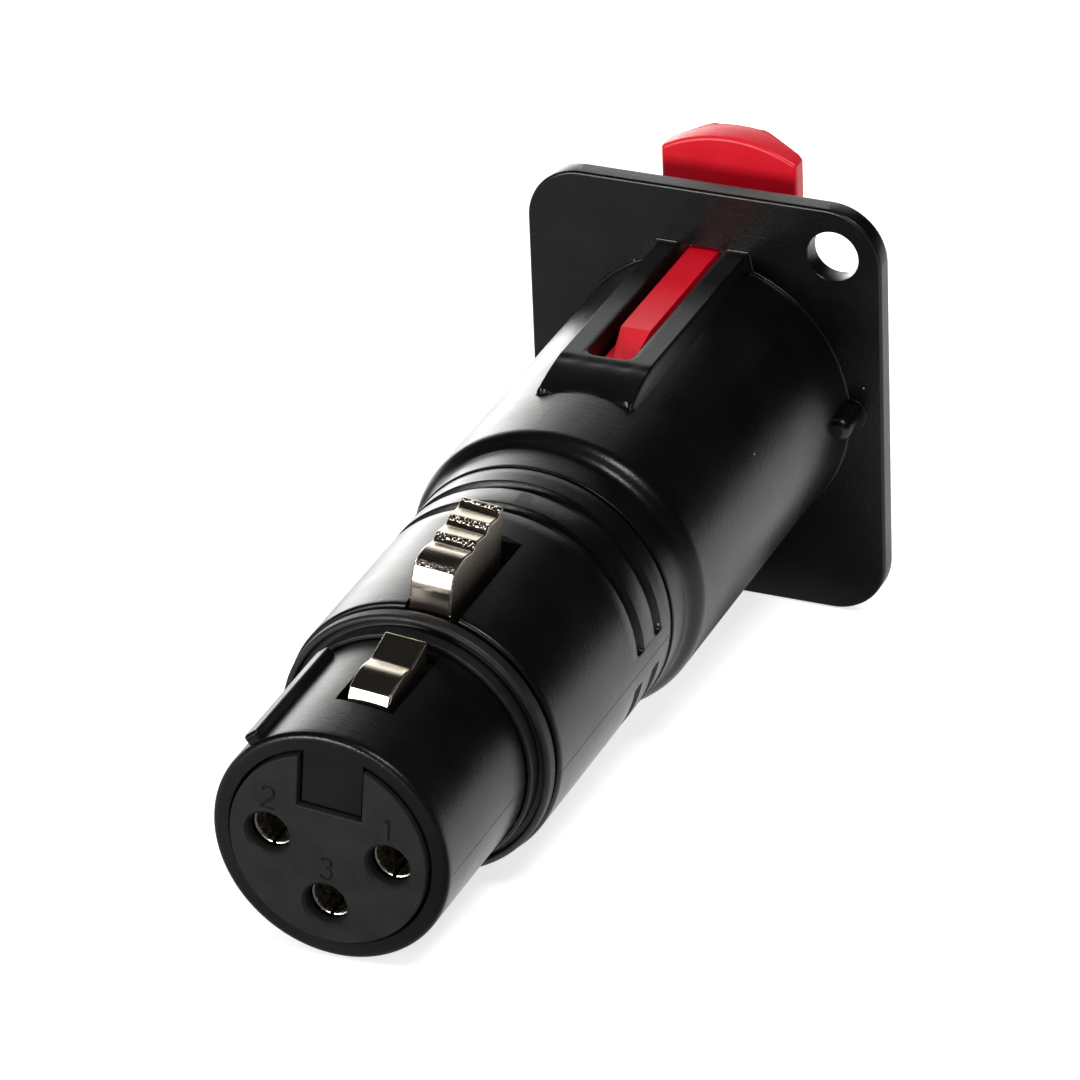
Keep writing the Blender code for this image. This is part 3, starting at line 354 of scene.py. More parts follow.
paintLook = {"color": (0.0022, 0.0022, 0.0025), "worn": (0.0036, 0.0036, 0.0038), "cloudScale": 260.0,
             "ior": 1.45, "roughLow": 0.27, "roughHigh": 0.34, "peelScale": 2200.0, "peelDepth": 0.007,
             "grainScale": 6500.0, "grainDepth": 0.011,
             "dust": (0.42, 0.42, 0.40), "dustScale": 420.0, "dustSize": 0.035, "dustShare": 0.16}


def makeBlackPaint():
    look = paintLook
    finish, tree, shader = newFinish("satin black paint", look["color"], look["roughLow"])
    shader.inputs["IOR"].default_value = look["ior"]
    cloud = grainOf(tree, look["cloudScale"], 3.0)
    tone = blendColor(tree, spread(tree, cloud, 0.0, 1.0), look["color"], look["worn"])
    dust = specksOf(tree, look["dustScale"], look["dustSize"], look["dustShare"])
    dress(tree, shader, blendColor(tree, dust, tone, look["dust"]),
          spread(tree, cloud, look["roughLow"], look["roughHigh"]),
          ((grainOf(tree, look["peelScale"], 1.0), look["peelDepth"]),
           (grainOf(tree, look["grainScale"], 2.0), look["grainDepth"])))
    return finish


def makePlastic(name, color, light, rough, grainDepth, specular=0.5):
    finish, tree, shader = newFinish(name, color, rough)
    shader.inputs["Specular IOR Level"].default_value = specular
    grain = grainOf(tree, 6000.0, 3.0, 0.6)
    tone = blendColor(tree, spread(tree, grainOf(tree, 500.0, 3.0), 0.0, 1.0), color, light)
    dress(tree, shader, tone, spread(tree, grain, rough - 0.06, rough + 0.1), ((grain, grainDepth),))
    return finish


rubberLook = {"color": (0.0075, 0.0072, 0.0085), "chalky": (0.014, 0.0135, 0.016), "roughLow": 0.42,
              "roughHigh": 0.58, "cloudScale": 900.0, "cloudDepth": 0.006, "grainScale": 7000.0,
              "grainDepth": 0.002}


def makeRubber():
    look = rubberLook
    finish, tree, shader = newFinish("black rubber", look["color"], look["roughLow"])
    cloud = grainOf(tree, look["cloudScale"], 4.0)
    grain = grainOf(tree, look["grainScale"])
    tone = blendColor(tree, spread(tree, cloud, 0.0, 1.0), look["color"], look["chalky"])
    dress(tree, shader, tone, spread(tree, grain, look["roughLow"], look["roughHigh"]),
          ((cloud, look["cloudDepth"]), (grain, look["grainDepth"])))
    return finish


metalGrain = {"scale": 3000.0, "depth": 0.0012}


def makeMetal(name, color, dull, roughLow, roughHigh):
    scale, depth = metalGrain["scale"], metalGrain["depth"]
    finish, tree, shader = newFinish(name, color, roughLow, 1.0)
    grain = grainOf(tree, scale, 3.0, 0.6)
    tone = blendColor(tree, spread(tree, grainOf(tree, scale / 6.0), 0.0, 1.0), color, dull)
    dress(tree, shader, tone, spread(tree, grain, roughLow, roughHigh),
          ((grain, depth), (grainOf(tree, scale * 2.2, 4.0, 0.7), depth * 0.5)))
    return finish


# nickel over a die casting: beaded where a ridge turns over, pitted along the sides
nickelLook = {"light": (0.54, 0.49, 0.42), "dull": (0.46, 0.40, 0.335), "rough": 0.22, "sideRough": 0.26,
              "ridgeStart": 0.04080, "ridgePitch": 0.00208, "ridgesEnd": 0.0464, "frontEdge": 0.04815,
              "frontEnd": 0.049, "beadScale": 4600.0, "beadDepth": 0.16, "pitScale": 3600.0,
              "pitDepth": 0.024, "grainScale": 2600.0, "grainDepth": 0.003}


def makeLatchNickel():
    look = nickelLook
    finish, tree, shader = newFinish("warm nickel plate", look["light"], look["rough"], 1.0)
    tone = blendColor(tree, spread(tree, grainOf(tree, 700.0), 0.0, 1.0), look["light"], look["dull"])
    place = tree.nodes.new("ShaderNodeTexCoord")
    facing = tree.nodes.new("ShaderNodeSeparateXYZ")
    tree.links.new(place.outputs["Normal"], facing.inputs[0])
    parts = tree.nodes.new("ShaderNodeSeparateXYZ")
    tree.links.new(place.outputs["Object"], parts.inputs[0])
    side = spread(tree, mathOf(tree, "ABSOLUTE", facing.outputs["X"], 0.0), 0.0, 1.0, 0.15, 0.7)
    roughness = spread(tree, side, look["rough"], look["sideRough"], 0.0, 1.0)
    # beads lie where a ridge has just turned over, and along the front edge of the button
    along, lean = parts.outputs["Y"], facing.outputs["Y"]
    ridge = mathOf(tree, "SUBTRACT", along, look["ridgeStart"])
    ridge = mathOf(tree, "PINGPONG", ridge, look["ridgePitch"] / 2)
    ridge = mathOf(tree, "MULTIPLY", spread(tree, ridge, 1.0, 0.0, 0.00015, 0.00034),
                   spread(tree, along, 1.0, 0.0, look["ridgesEnd"], look["ridgesEnd"] + 0.0004))
    front, frontEnd = look["frontEdge"], look["frontEnd"]
    edge = mathOf(tree, "MULTIPLY", spread(tree, along, 0.0, 1.0, front - 0.0002, front),
                  spread(tree, along, 1.0, 0.0, frontEnd, frontEnd + 0.0005))
    # only on faces that lean towards the nose, and not on the upright front
    beaded = mathOf(tree, "MAXIMUM", ridge, edge)
    beaded = mathOf(tree, "MULTIPLY", beaded, spread(tree, lean, 0.0, 1.0, 0.1, 0.3))
    beaded = mathOf(tree, "MULTIPLY", beaded, spread(tree, lean, 1.0, 0.0, 0.8, 0.9))
    cells = tree.nodes.new("ShaderNodeTexVoronoi")
    cells.inputs["Scale"].default_value = look["beadScale"]
    tree.links.new(place.outputs["Object"], cells.inputs["Vector"])
    beads = mathOf(tree, "MULTIPLY", cells.outputs["Distance"], beaded)
    pits = mathOf(tree, "MULTIPLY", grainOf(tree, look["pitScale"], 2.0, 0.6), side)
    dress(tree, shader, tone, roughness, ((beads, look["beadDepth"]), (pits, look["pitDepth"]),
                                          (grainOf(tree, look["grainScale"], 3.0, 0.6), look["grainDepth"])))
    return finish


blackPaint = makeBlackPaint()
darkPlastic = makePlastic("dark moulded plastic", (0.010, 0.010, 0.0112), (0.017, 0.017, 0.0185), 0.6,
                          0.006, 0.25)
redPlastic = makePlastic("red moulded plastic", (0.74, 0.0015, 0.016), (0.80, 0.006, 0.024), 0.36, 0.003)
boardGreen = makePlastic("coated board", (0.012, 0.085, 0.035), (0.018, 0.11, 0.05), 0.42, 0.002)
blackRubber = makeRubber()
latchNickel = makeLatchNickel()
bushNickel = makeMetal("turned nickel", (0.74, 0.71, 0.67), (0.66, 0.62, 0.58), 0.16, 0.28)
platedBrass = makeMetal("plated contacts", (0.80, 0.76, 0.68), (0.70, 0.64, 0.54), 0.18, 0.32)
springSteel = makeMetal("spring steel", (0.58, 0.58, 0.60), (0.46, 0.46, 0.48), 0.22, 0.38)
print("finishes made")


# the die-cast housing of the jack end

housing = {"bodyRadius": 10.45, "collarRadius": 9.65, "end": 30.15, "wallRadius": 9.0,
           "shoulderStart": 26.95, "shoulderRound": 1.1, "collarStart": 27.65, "collarFillet": 0.9,
           "flare": 0.16, "flareReach": 0.09,
           "boxHalf": 3.33, "boxDraft": 0.2, "boxTop": 11.24, "boxFlat": 17.4, "boxEnd": 21.2,
           "boxDrop": 0.95, "boxFoot": 9.86, "wallRise": 1.4, "cornerSoft": 0.9, "footSoft": 0.12,
           "sagPlace": 17.9, "sagReach": 0.35, "sagDepth": 0.05, "stepBack": 0.12, "stepFall": 12.0,
           "land": 0.2, "landHeight": 0.13,
           "plateHalf": (13.0, 15.5), "plateCorner": 4.0, "plateThick": 1.6, "plateEdge": 0.2,
           "plateFrontEdge": 0.32,
           "bossRadius": 8.9, "bossLength": 6.0, "bossEdge": 0.5, "bushRoom": 5.6, "bushEnd": 0.6,
           "holePlace": (9.5, 12.0), "holeRadius": 1.84, "holeEdge": 0.1,
           "slotHalf": 1.6, "slotEnd": 17.0, "slotCorner": 0.6, "slotLow": 7.9,
           "tabRoomHalf": 5.3, "tabRoomLow": 7.6, "tabRoomTop": 11.3,
           "pegRadius": 0.9, "pegLength": 2.75, "pegPlace": 10.65, "pegFoot": 0.28, "pegDome": 0.55,
           "inside": -0.8, "cutStart": -9.0}  # inside: where joined solids start in the plate


def softMin(a, b, soft):
    share = max(0.0, min(1.0, 0.5 + 0.5 * (b - a) / soft))
    return b + (a - b) * share - soft * share * (1.0 - share)


def softMax(a, b, soft):
    return -softMin(-a, -b, soft)


h = housing
bodyProfile = filleted([(-5.0, h["bodyRadius"]), (h["shoulderStart"], h["bodyRadius"], h["shoulderRound"]),
                        (h["collarStart"], h["collarRadius"], h["collarFillet"]), (40.0, h["collarRadius"]),
                        (40.0, 0.0), (-5.0, 0.0)], 8)


# outside radius of the round body: a small flare at the flange, then shoulder and collar
def bodyRadiusAt(y):
    for (y0, r0), (y1, r1) in zip(bodyProfile, bodyProfile[1:]):
        if y0 <= y <= y1:
            radius = r0 + (r1 - r0) * (y - y0) / max(1e-9, y1 - y0)
            return radius + h["flare"] * math.exp(-max(0.0, y) / h["flareReach"])


# the lever box's top: flat, slack just behind the slot, then down to a ragged little step
def boxTopAt(x, y):
    top = h["boxTop"]
    if y > h["boxFlat"]:
        share = (y - h["boxFlat"]) / (h["boxEnd"] - h["boxFlat"])
        top -= h["boxDrop"] * (share * 0.35 + share * share * 0.65)
    sag = math.exp(-((y - h["sagPlace"]) / h["sagReach"]) ** 2)
    top -= h["sagDepth"] * sag * (1.0 + 0.5 * math.sin(x * 3.1))
    ragged = h["boxEnd"] + 0.07 * math.sin(x * 5.3 + 0.6) + 0.04 * math.sin(x * 13.0) - h["stepBack"]
    if y > ragged:
        top -= h["stepFall"] * (y - ragged) ** 1.25
    return top


# a point of the body with the lever box on it; the angle runs from the top towards +X
def bodyPoint(angle, y, grown, radius):
    x, z = radius * math.sin(angle), radius * math.cos(angle)
    wall = (h["boxHalf"] + h["boxDraft"] + grown - abs(x)) * h["wallRise"] / h["boxDraft"] + h["boxFoot"]
    if z > 0 and wall > 7.0 and y < h["boxEnd"] + 0.9:
        z = softMax(z, softMin(boxTopAt(x, y) + grown, wall, h["cornerSoft"]), h["footSoft"])
    return Vector((x, y, z))


# dense where the box's walls stand, even elsewhere
def bodyAngles():
    places = [0.0, 0.5, 1.0, 1.5, 1.7, 2.0, 2.4, 2.7, 2.9, 3.0]
    places += [3.06 + 0.045 * k for k in range(16)] + [3.8, 3.9, 4.0, 4.2, 4.6]
    right = [math.asin(x / h["bodyRadius"]) for x in places]
    last = right[-1]
    around = [last + (2 * math.pi - 2 * last) * k / 120 for k in range(1, 120)]
    return right + around + [2 * math.pi - a for a in reversed(right[1:])]


aroundBody = bodyAngles()


def roundRing(radius, y):
    return [Vector((radius * math.sin(a), y, radius * math.cos(a))) for a in aroundBody]


def bodyRing(y, grown=0.0, shapeAt=None):
    shapeY = y if shapeAt is None else shapeAt
    ring = [bodyPoint(a, shapeY, grown, bodyRadiusAt(shapeY) + grown) for a in aroundBody]
    return [Vector((p.x, y, p.z)) for p in ring]


def slotOutline(grown):
    half, end, corner = h["slotHalf"] + grown, h["slotEnd"] + grown, h["slotCorner"] + grown
    return filleted([(half, -0.01), (half, end, corner), (-half, end, corner), (-half, -0.01)], 6)


# cutter of a hole whose two rims are a little rounded
def rimmedHole(place, radius, low, high, edge):
    ends = [(radius + edge * 1.6, low - edge), (radius + edge * 0.6, low),
            (radius + edge * 0.2, low + edge * 0.4), (radius, low + edge)]
    other = [(r, low + high - y) for r, y in reversed(ends)]
    return turned([(0.0, low - edge)] + ends + other + [(0.0, high + edge)], 64, place)


def domedRod(radius, low, high, place, dome):
    crown = [(radius - dome + r, high - dome + y) for r, y in arcPoints((0, 0), dome, 0, 84, 7)]
    return turned([(0.0, low), (radius, low)] + crown + [(0.0, high)], 40, place)


# where the body's rings stand: dense at the flange, over the box's end and over the shoulder
def bodyStations():
    stations = [h["inside"], 0.0, 0.05, 0.1, 0.16, 0.24, 0.4] + [0.8 + 1.2 * k for k in range(14)]
    stations += [17.1, 17.3, 17.5, 17.7, 17.9, 18.1, 18.3, 18.6, 18.9, 19.3, 19.7, 20.1, 20.4, 20.7, 20.9]
    stations += [21.0 + 0.06 * k for k in range(14)] + [22.1, 22.8, 23.6, 24.6, 25.6, 26.3]
    return stations + [26.42 + 0.1 * k for k in range(18)] + [28.5, 29.2, 29.9]


def makePlate():
    outline = roundRect(h["plateHalf"][0], h["plateHalf"][1], h["plateCorner"], 16)
    front = roundedEnds(-h["plateThick"], 0.0, h["plateFrontEdge"], 5)[:6]
    back = roundedEnds(-h["plateThick"], 0.0, h["plateEdge"], 4)[5:]
    return newPiece("housingCasting", extruded(outline, alongY, front + back))


def addBody(piece):
    rings = [bodyRing(y) for y in bodyStations()]
    for y, less in ((30.07, 0.0), (30.11, 0.01), (30.135, 0.03), (h["end"], 0.06)):
        rings.append(roundRing(h["collarRadius"] - less, y))
    rings += [roundRing(h["wallRadius"], h["end"]), roundRing(h["wallRadius"], 0.3)]
    join(piece, skin(rings))
    steps = ((h["inside"], 0.0), (0.05, 0.0), (0.09, 0.02), (0.12, 0.06), (h["landHeight"], 0.12))
    join(piece, skin([bodyRing(y, h["land"] - less, 2.0) for y, less in steps]))
    for side in (-1, 1):
        place = (side * h["pegPlace"], 0.15)
        join(piece, domedRod(h["pegRadius"] + h["pegFoot"], -0.5, 0.115, place, 0.05))
        join(piece, domedRod(h["pegRadius"], -0.5, h["pegLength"], place, h["pegDome"]))


def addBoss(piece):
    front, room = -h["plateThick"] - h["bossLength"], h["bushRoom"]
    boss = [(0.0, h["inside"]), (h["bossRadius"], h["inside"]), (h["bossRadius"], front, h["bossEdge"]),
            (0.0, front)]
    join(piece, turned(filleted(boss, 6)))
    cut(piece, turned([(0.0, h["cutStart"]), (room + 1.0, h["cutStart"]), (room + 0.15, front),
                       (room, front + 0.15), (room, h["bushEnd"]), (0.0, h["bushEnd"])], 96))


def makeHousing():
    piece = makePlate()
    addBody(piece)
    addBoss(piece)
    cut(piece, block((-h["slotHalf"], h["cutStart"], h["slotLow"]), (h["slotHalf"], 0.0, h["boxTop"])))
    cut(piece, block((-h["tabRoomHalf"], h["cutStart"], h["tabRoomLow"]),
                     (h["tabRoomHalf"], -h["plateThick"], h["tabRoomTop"])))
    # the slot, from its floor to its rounded rim: depth below the box's top and growth
    flare = ((4.74, 0.0), (0.16, 0.0), (0.08, 0.02), (0.03, 0.06), (0.0, 0.12), (-0.3, 0.5))
    rings = [[alongZ(x, y, h["boxTop"] - low) for x, y in slotOutline(grown)] for low, grown in flare]
    cut(piece, skin(rings))
    for side in (-1, 1):
        place = (side * h["holePlace"][0], -side * h["holePlace"][1])
        cut(piece, rimmedHole(place, h["holeRadius"], -h["plateThick"], 0.0, h["holeEdge"]))
    return finishPiece(piece, blackPaint, "housing", ["jack_housing"])


housingCasting = makeHousing()
print("housing made, %d faces" % len(housingCasting.data.polygons))


# the red release lever: bar in the slot, tab in front of the flange

lever = {"barHalf": 1.07, "barTop": 10.95, "barBottom": 9.35, "foldAt": 12.15, "barEnd": 16.3,
         "endRight": (-1.05, 9.95), "endCrease": (-0.6, 9.75), "endLeft": (0.45, 9.4),
         "baseHalf": 1.3, "baseTop": 9.8, "baseEnd": 16.2, "edge": 0.07,
         "tabBack": -5.0, "tabHalf": 5.0, "tabSide": 1.35, "tabDepth": 2.3, "tabFrontHalf": 2.2,
         "tabTop": 17.15, "tabDrop": 1.35, "tabBottom": 9.3, "tabEdge": 0.26, "tabCorner": 0.3}


# height of the tab's crowned top
def crownTop(x):
    half, drop = lever["tabHalf"], lever["tabDrop"]
    radius = (half * half + drop * drop) / (2 * drop)
    return lever["tabTop"] - radius + math.sqrt(radius * radius - x * x)


# the tab from behind, in (x, z)
def tabOutline(half):
    crown = [(x, crownTop(x)) for x in (half * (1 - k / 12) for k in range(1, 24))]
    corner = lever["tabCorner"]
    return filleted([(half, lever["tabBottom"]), (half, crownTop(half), corner)] + crown
                    + [(-half, crownTop(half), corner), (-half, lever["tabBottom"])], 4)


# the tab's rings from back to front: a rounded back, straight sides, then drawn in to a narrow front
def tabRings():
    v = lever
    front = v["tabBack"] - v["tabDepth"]
    stations = [(y, v["tabHalf"], inset)
                for y, inset in roundedEnds(v["tabBack"] - 2.0, v["tabBack"], v["tabEdge"], 4)
                if y > v["tabBack"] - 1.0]
    stations.reverse()
    stations.append((v["tabBack"] - v["tabSide"] + 0.1, v["tabHalf"], 0.0))
    stations.append((v["tabBack"] - v["tabSide"] - 0.1, v["tabHalf"] - 0.25, 0.0))
    for y, wider, inset in ((0.12, 0.35, 0.0), (0.03, 0.08, 0.04), (0.0, -0.1, 0.1)):
        stations.append((front + y, v["tabFrontHalf"] + wider, inset))
    return [[alongY(x, z, y) for x, z in insetOutline(tabOutline(half), inset)]
            for y, half, inset in stations]


def makeLever():
    v = lever
    piece = newPiece("releaseLever", skin(tabRings()))
    inTab = v["tabBack"] - 0.9
    low = v["barBottom"]
    start = [(-v["barHalf"], low), (-v["barHalf"], v["barTop"]), (v["barHalf"] - 0.02, v["barTop"]),
             (v["barHalf"], v["barTop"]), (v["barHalf"], low)]
    end = [(v["endRight"][0], low - 0.3), v["endRight"], v["endCrease"], v["endLeft"],
           (v["endLeft"][0], low - 0.3)]
    steps = ((inTab, start), (v["foldAt"], start), (v["barEnd"], end))
    bar = skin([[alongY(x, z, y) for x, z in points] for y, points in steps])
    join(piece, softened(bar, v["edge"], 3, 8.0))
    base = block((-v["baseHalf"], inTab, v["tabBottom"]), (v["baseHalf"], v["baseEnd"], v["baseTop"]))
    join(piece, softened(base, 0.06))
    return finishPiece(piece, redPlastic, "release", ["release_lever"], 30.0)


makeLever()
print("release lever made")


# the die-cast shell of the connector end

shell = {"barrelRadius": 9.55, "start": 30.3, "barrelEnd": 49.0, "bore": 7.9, "spigotRadius": 8.7,
         "spigotStart": 25.3, "grooves": (31.95, 34.85), "grooveWidth": 1.0, "grooveDepth": 0.42,
         "grooveLip": 0.24, "grooveBridge": 7.0, "seam": 0.025, "seamHalf": 0.2,
         "noseRadius": 8.05, "noseEnd": 63.3, "noseEdge": 0.4, "noseBore": 6.85, "rootWall": 1.1,
         "ribAngle": 43.0, "ribHalf": 0.6, "ribFoot": 7.4, "ribTop": 8.7, "ribStart": 51.7, "ribEnd": 62.9,
         "slotFar": 2.1, "slotNear": 1.58, "slotStart": 38.87, "slotOpen": 49.15, "armTop": 7.1,
         "windowHalf": 1.95, "windowStart": 51.4, "windowEnd": 58.78, "windowFloor": 3.4,
         "bridgeTop": 7.45, "lugHalf": 2.05, "lugFloor": 2.88}


def smoothStep(value):
    share = max(0.0, min(1.0, value))
    return share * share * (3.0 - 2.0 * share)


# angles from +X, dense beside the two parting lines
def shellAngles():
    near = [0.0, 0.25, 0.7, 2.0, 4.0, 5.5, 6.3, 6.8, 7.2, 7.6, 8.0, 8.5, 9.3, 10.5]
    quarter = [a for a in near + [12.0 + 1.5 * k for k in range(52)] if a <= 90.0]
    half = quarter + [180.0 - a for a in reversed(quarter[:-1])]
    return half + [360.0 - a for a in reversed(half[1:-1])]


# how far the surface lies below the plain barrel: two grooves that stop beside the parting line
def grooveAt(degrees, y):
    apart = min(abs(degrees - line) for line in (0.0, 180.0, 360.0))
    along = smoothStep((apart - shell["grooveBridge"]) / 1.2)
    lip, depth = shell["grooveLip"], 0.0
    for start in shell["grooves"]:
        past, left = (y - start) / lip, (start + shell["grooveWidth"] - y) / lip
        depth = max(depth, smoothStep(past) * smoothStep(left))
    seam = shell["seam"] if apart < shell["seamHalf"] else 0.0
    return shell["grooveDepth"] * depth * along + seam


def shellRing(radius, y, grooved=False):
    ring = []
    for angle in shellAngles():
        out = radius - (grooveAt(angle, y) if grooved else 0.0)
        ring.append(Vector((out * math.cos(math.radians(angle)), y, out * math.sin(math.radians(angle)))))
    return ring


# the wall's section from the rear inside, along the outside to the nose and back through the bore
def shellRings():
    s, ring = shell, shellRing
    rings = [ring(s["bore"], s["spigotStart"]), ring(s["spigotRadius"], s["spigotStart"]),
             ring(s["spigotRadius"], s["start"])]
    for less, y in ((0.06, 0.0), (0.03, 0.015), (0.01, 0.04), (0.0, 0.08)):
        rings.append(ring(s["barrelRadius"] - less, s["start"] + y, True))
    stations = [31.0, 31.6]
    for start in s["grooves"]:
        stations += [start + 0.07 * k for k in range(14)] + [start + 1.3]
    stations += [37.0, 38.5, 40.5, 43.0, 46.0, 48.5]
    rings += [ring(s["barrelRadius"], y, True) for y in sorted(stations)]
    for less, back in ((0.0, 0.26), (0.02, 0.16), (0.07, 0.07), (0.15, 0.015), (0.24, 0.0)):
        rings.append(ring(s["barrelRadius"] - less, s["barrelEnd"] - back, True))
    rings += [ring(s["noseRadius"] + 0.1, s["barrelEnd"]), ring(s["noseRadius"], s["barrelEnd"] + 0.1)]
    rings += [ring(s["noseRadius"], y, True) for y in (51.0, 54.0, 57.0, 60.0, 62.5)]
    edge = s["noseEdge"]
    for out, along in arcPoints((0, 0), edge, 0, 90, 6):
        rings.append(ring(s["noseRadius"] - edge + out, s["noseEnd"] - edge + along))
    rings += [ring(s["noseBore"] + 0.08, s["noseEnd"]), ring(s["noseBore"], s["noseEnd"] - 0.08)]
    root = s["barrelEnd"] - s["rootWall"]
    return rings + [ring(s["noseBore"], root), ring(s["bore"], root)]


def addRibAndLug(piece):
    s = shell
    top = s["ribHalf"] - 0.04
    rib = filleted([(-s["ribHalf"], s["ribFoot"]), (-top, s["ribTop"], 0.22), (top, s["ribTop"], 0.22),
                    (s["ribHalf"], s["ribFoot"])], 5)
    rib = extruded(rib, alongY, roundedEnds(s["ribStart"], s["ribEnd"], 0.3, 4))
    join(piece, spun(rib, s["ribAngle"]), True)
    lug = block((-s["lugHalf"], s["windowEnd"] + 0.3, s["lugFloor"]),
                (s["lugHalf"], s["noseEnd"] - 0.01, s["bridgeTop"]))
    join(piece, softened(lug, 0.06), True)


# the slot of the button, the window of the hook, and the passage of the arm between them
def cutLatchRoom(piece):
    s = shell
    rings = []
    for z, grown in ((s["armTop"], 0.0), (9.2, 0.0), (9.33, 0.03), (9.45, 0.1), (9.56, 0.2), (10.0, 0.5)):
        near, far = s["slotNear"] + grown, -s["slotFar"] - grown
        start, end = s["slotStart"] - grown, s["slotOpen"]
        rings.append([alongZ(x, y, z) for x, y in ((near, start), (near, end), (far, end), (far, start))])
    cut(piece, skin(rings), True)
    rings = []
    for z, grown in ((s["windowFloor"], 0.0), (7.78, 0.0), (7.86, 0.04), (7.95, 0.12), (8.4, 0.5)):
        half, start, end = s["windowHalf"] + grown, s["windowStart"] - grown, s["windowEnd"] + grown
        rings.append([alongZ(x, y, z) for x, y in ((half, start), (half, end), (-half, end), (-half, start))])
    cut(piece, skin(rings), True)
    cut(piece, block((-s["windowHalf"], s["barrelEnd"] - s["rootWall"] - 0.3, s["windowFloor"]),
                     (s["windowHalf"], s["windowStart"] + 0.3, s["bridgeTop"])), True)


def makeShell():
    piece = newPiece("connectorShell", skin(shellRings(), closed=True), True)
    addRibAndLug(piece)
    cutLatchRoom(piece)
    return finishPiece(piece, blackPaint, "housing", ["xlr_shell"])


connectorShell = makeShell()
print("connector shell made, %d faces" % len(connectorShell.data.polygons))


# rubber ring: an outer bead, a hollow and an inner lip

gasket = {"inner": 8.12, "outer": 9.32, "seat": 49.3, "front": 50.25, "lipFront": 51.0, "lipOuter": 8.42,
          "bead": 8.87, "hollow": 49.8}


def makeGasket():
    g = gasket
    profile = filleted([(g["inner"], g["seat"]), (g["outer"], g["seat"], 0.08),
                        (g["outer"], g["front"], 0.26), (g["bead"], g["front"], 0.12),
                        (g["bead"] - 0.02, g["hollow"], 0.1),
                        (g["lipOuter"], g["hollow"], 0.1), (g["lipOuter"], g["lipFront"], 0.12),
                        (g["inner"], g["lipFront"], 0.04)], 5)
    piece = newPiece("noseGasket", turned(profile, 200), True)
    return finishPiece(piece, blackRubber, "housing", ["nose_gasket"], 50.0)


makeGasket()


# contact carrier with its three holes and sunk numbers

carrier = {"radius": 7.6, "rear": 33.0, "step": 47.6, "noseRadius": 6.7, "end": 63.67, "edge": 0.12,
           "channelHalf": 2.2, "channelFloor": 2.73, "channelTop": 9.0, "circle": 4.1,
           "faceHole": 1.42, "seatHole": 1.8, "seatStart": 45.1, "tailHole": 0.8, "contactEnd": 62.47,
           "numberHigh": 1.55, "numberRise": 1.95, "stroke": 0.17, "deep": 0.12}
contactPlaces = {"contact_1": (-carrier["circle"], 0.0), "contact_2": (carrier["circle"], 0.0),
                 "contact_3": (0.0, -carrier["circle"])}

# strokes of the contact numbers in a cell 1 high, read from the nose side
numberStrokes = {
    "contact_1": [[(0.0, 0.0), (0.0, 1.0)], [(-0.17, 0.82), (0.0, 0.97)]],
    "contact_2": [arcPoints((0.0, 0.72), 0.27, 165, -35, 10) + [(-0.27, 0.02)], [(-0.30, 0.0), (0.30, 0.0)]],
    "contact_3": [arcPoints((0.0, 0.75), 0.23, 150, -85, 10), arcPoints((0.0, 0.27), 0.27, 85, -150, 12)]}


# a flat ribbon of even width along an open line, as a closed outline
def ribbon(points, width):
    left, right = [], []
    for index, point in enumerate(points):
        before = Vector(points[max(0, index - 1)])
        after = Vector(points[min(len(points) - 1, index + 1)])
        way = (after - before).normalized()
        side = Vector((-way.y, way.x)) * width / 2
        left.append(tuple(Vector(point) + side))
        right.append(tuple(Vector(point) - side))
    return left + list(reversed(right))


def cutChannel(piece):
    c = carrier
    rings = []
    for y, grown in ((c["rear"] - 1, 0.0), (c["end"] - 0.1, 0.0), (c["end"] - 0.03, 0.03), (c["end"], 0.1),
                     (c["end"] + 0.5, 0.6)):
        half, floor, top = c["channelHalf"] + grown, c["channelFloor"] - grown, c["channelTop"]
        rings.append([alongY(x, z, y) for x, z in ((half, top), (-half, top), (-half, floor), (half, floor))])
    cut(piece, skin(rings), True)


def cutContactHoles(piece):
    c = carrier
    face, seat, tail = c["faceHole"], c["seatHole"], c["tailHole"]
    hole = [(0.0, c["rear"] - 1), (tail, c["rear"] - 1), (tail, c["seatStart"]), (seat, c["seatStart"]),
            (seat, c["contactEnd"] + 0.3), (face, c["contactEnd"] + 0.3), (face, c["end"] - 0.28),
            (face + 0.02, c["end"] - 0.2), (face + 0.2, c["end"]), (face + 0.4, c["end"] + 0.2),
            (0.0, c["end"] + 0.2)]
    for place in contactPlaces.values():
        cut(piece, turned(hole, 56, place), True)


def cutNumbers(piece):
    c = carrier
    stations = [(c["end"] - c["deep"], 0.05), (c["end"] - 0.03, 0.0), (c["end"] + 0.1, -0.1)]
    for name, (x, z) in contactPlaces.items():
        for stroke in numberStrokes[name]:
            # read from the nose side, +X lies to the left
            line = [(x - u * c["numberHigh"], z + c["numberRise"] + v * c["numberHigh"]) for u, v in stroke]
            cut(piece, extruded(ribbon(line, c["stroke"]), alongY, stations), True)


def makeCarrier():
    c = carrier
    profile = [(0.0, c["rear"]), (c["radius"], c["rear"]), (c["radius"], c["step"]),
               (c["noseRadius"], c["step"]), (c["noseRadius"], c["end"], c["edge"]), (0.0, c["end"])]
    piece = newPiece("contactCarrier", turned(filleted(profile, 5), 180), True)
    cutChannel(piece)
    cutContactHoles(piece)
    cutNumbers(piece)
    return finishPiece(piece, darkPlastic, "housing", ["contact_carrier"], 32.0)


makeCarrier()
print("contact carrier made")


# turned contacts, each slit in its front

contact = {"bore": 1.25, "radius": 1.5, "length": 17.0, "blind": 2.0, "tailRadius": 0.5, "tailEnd": 26.9,
           "slit": 0.3, "slitLength": 6.8}


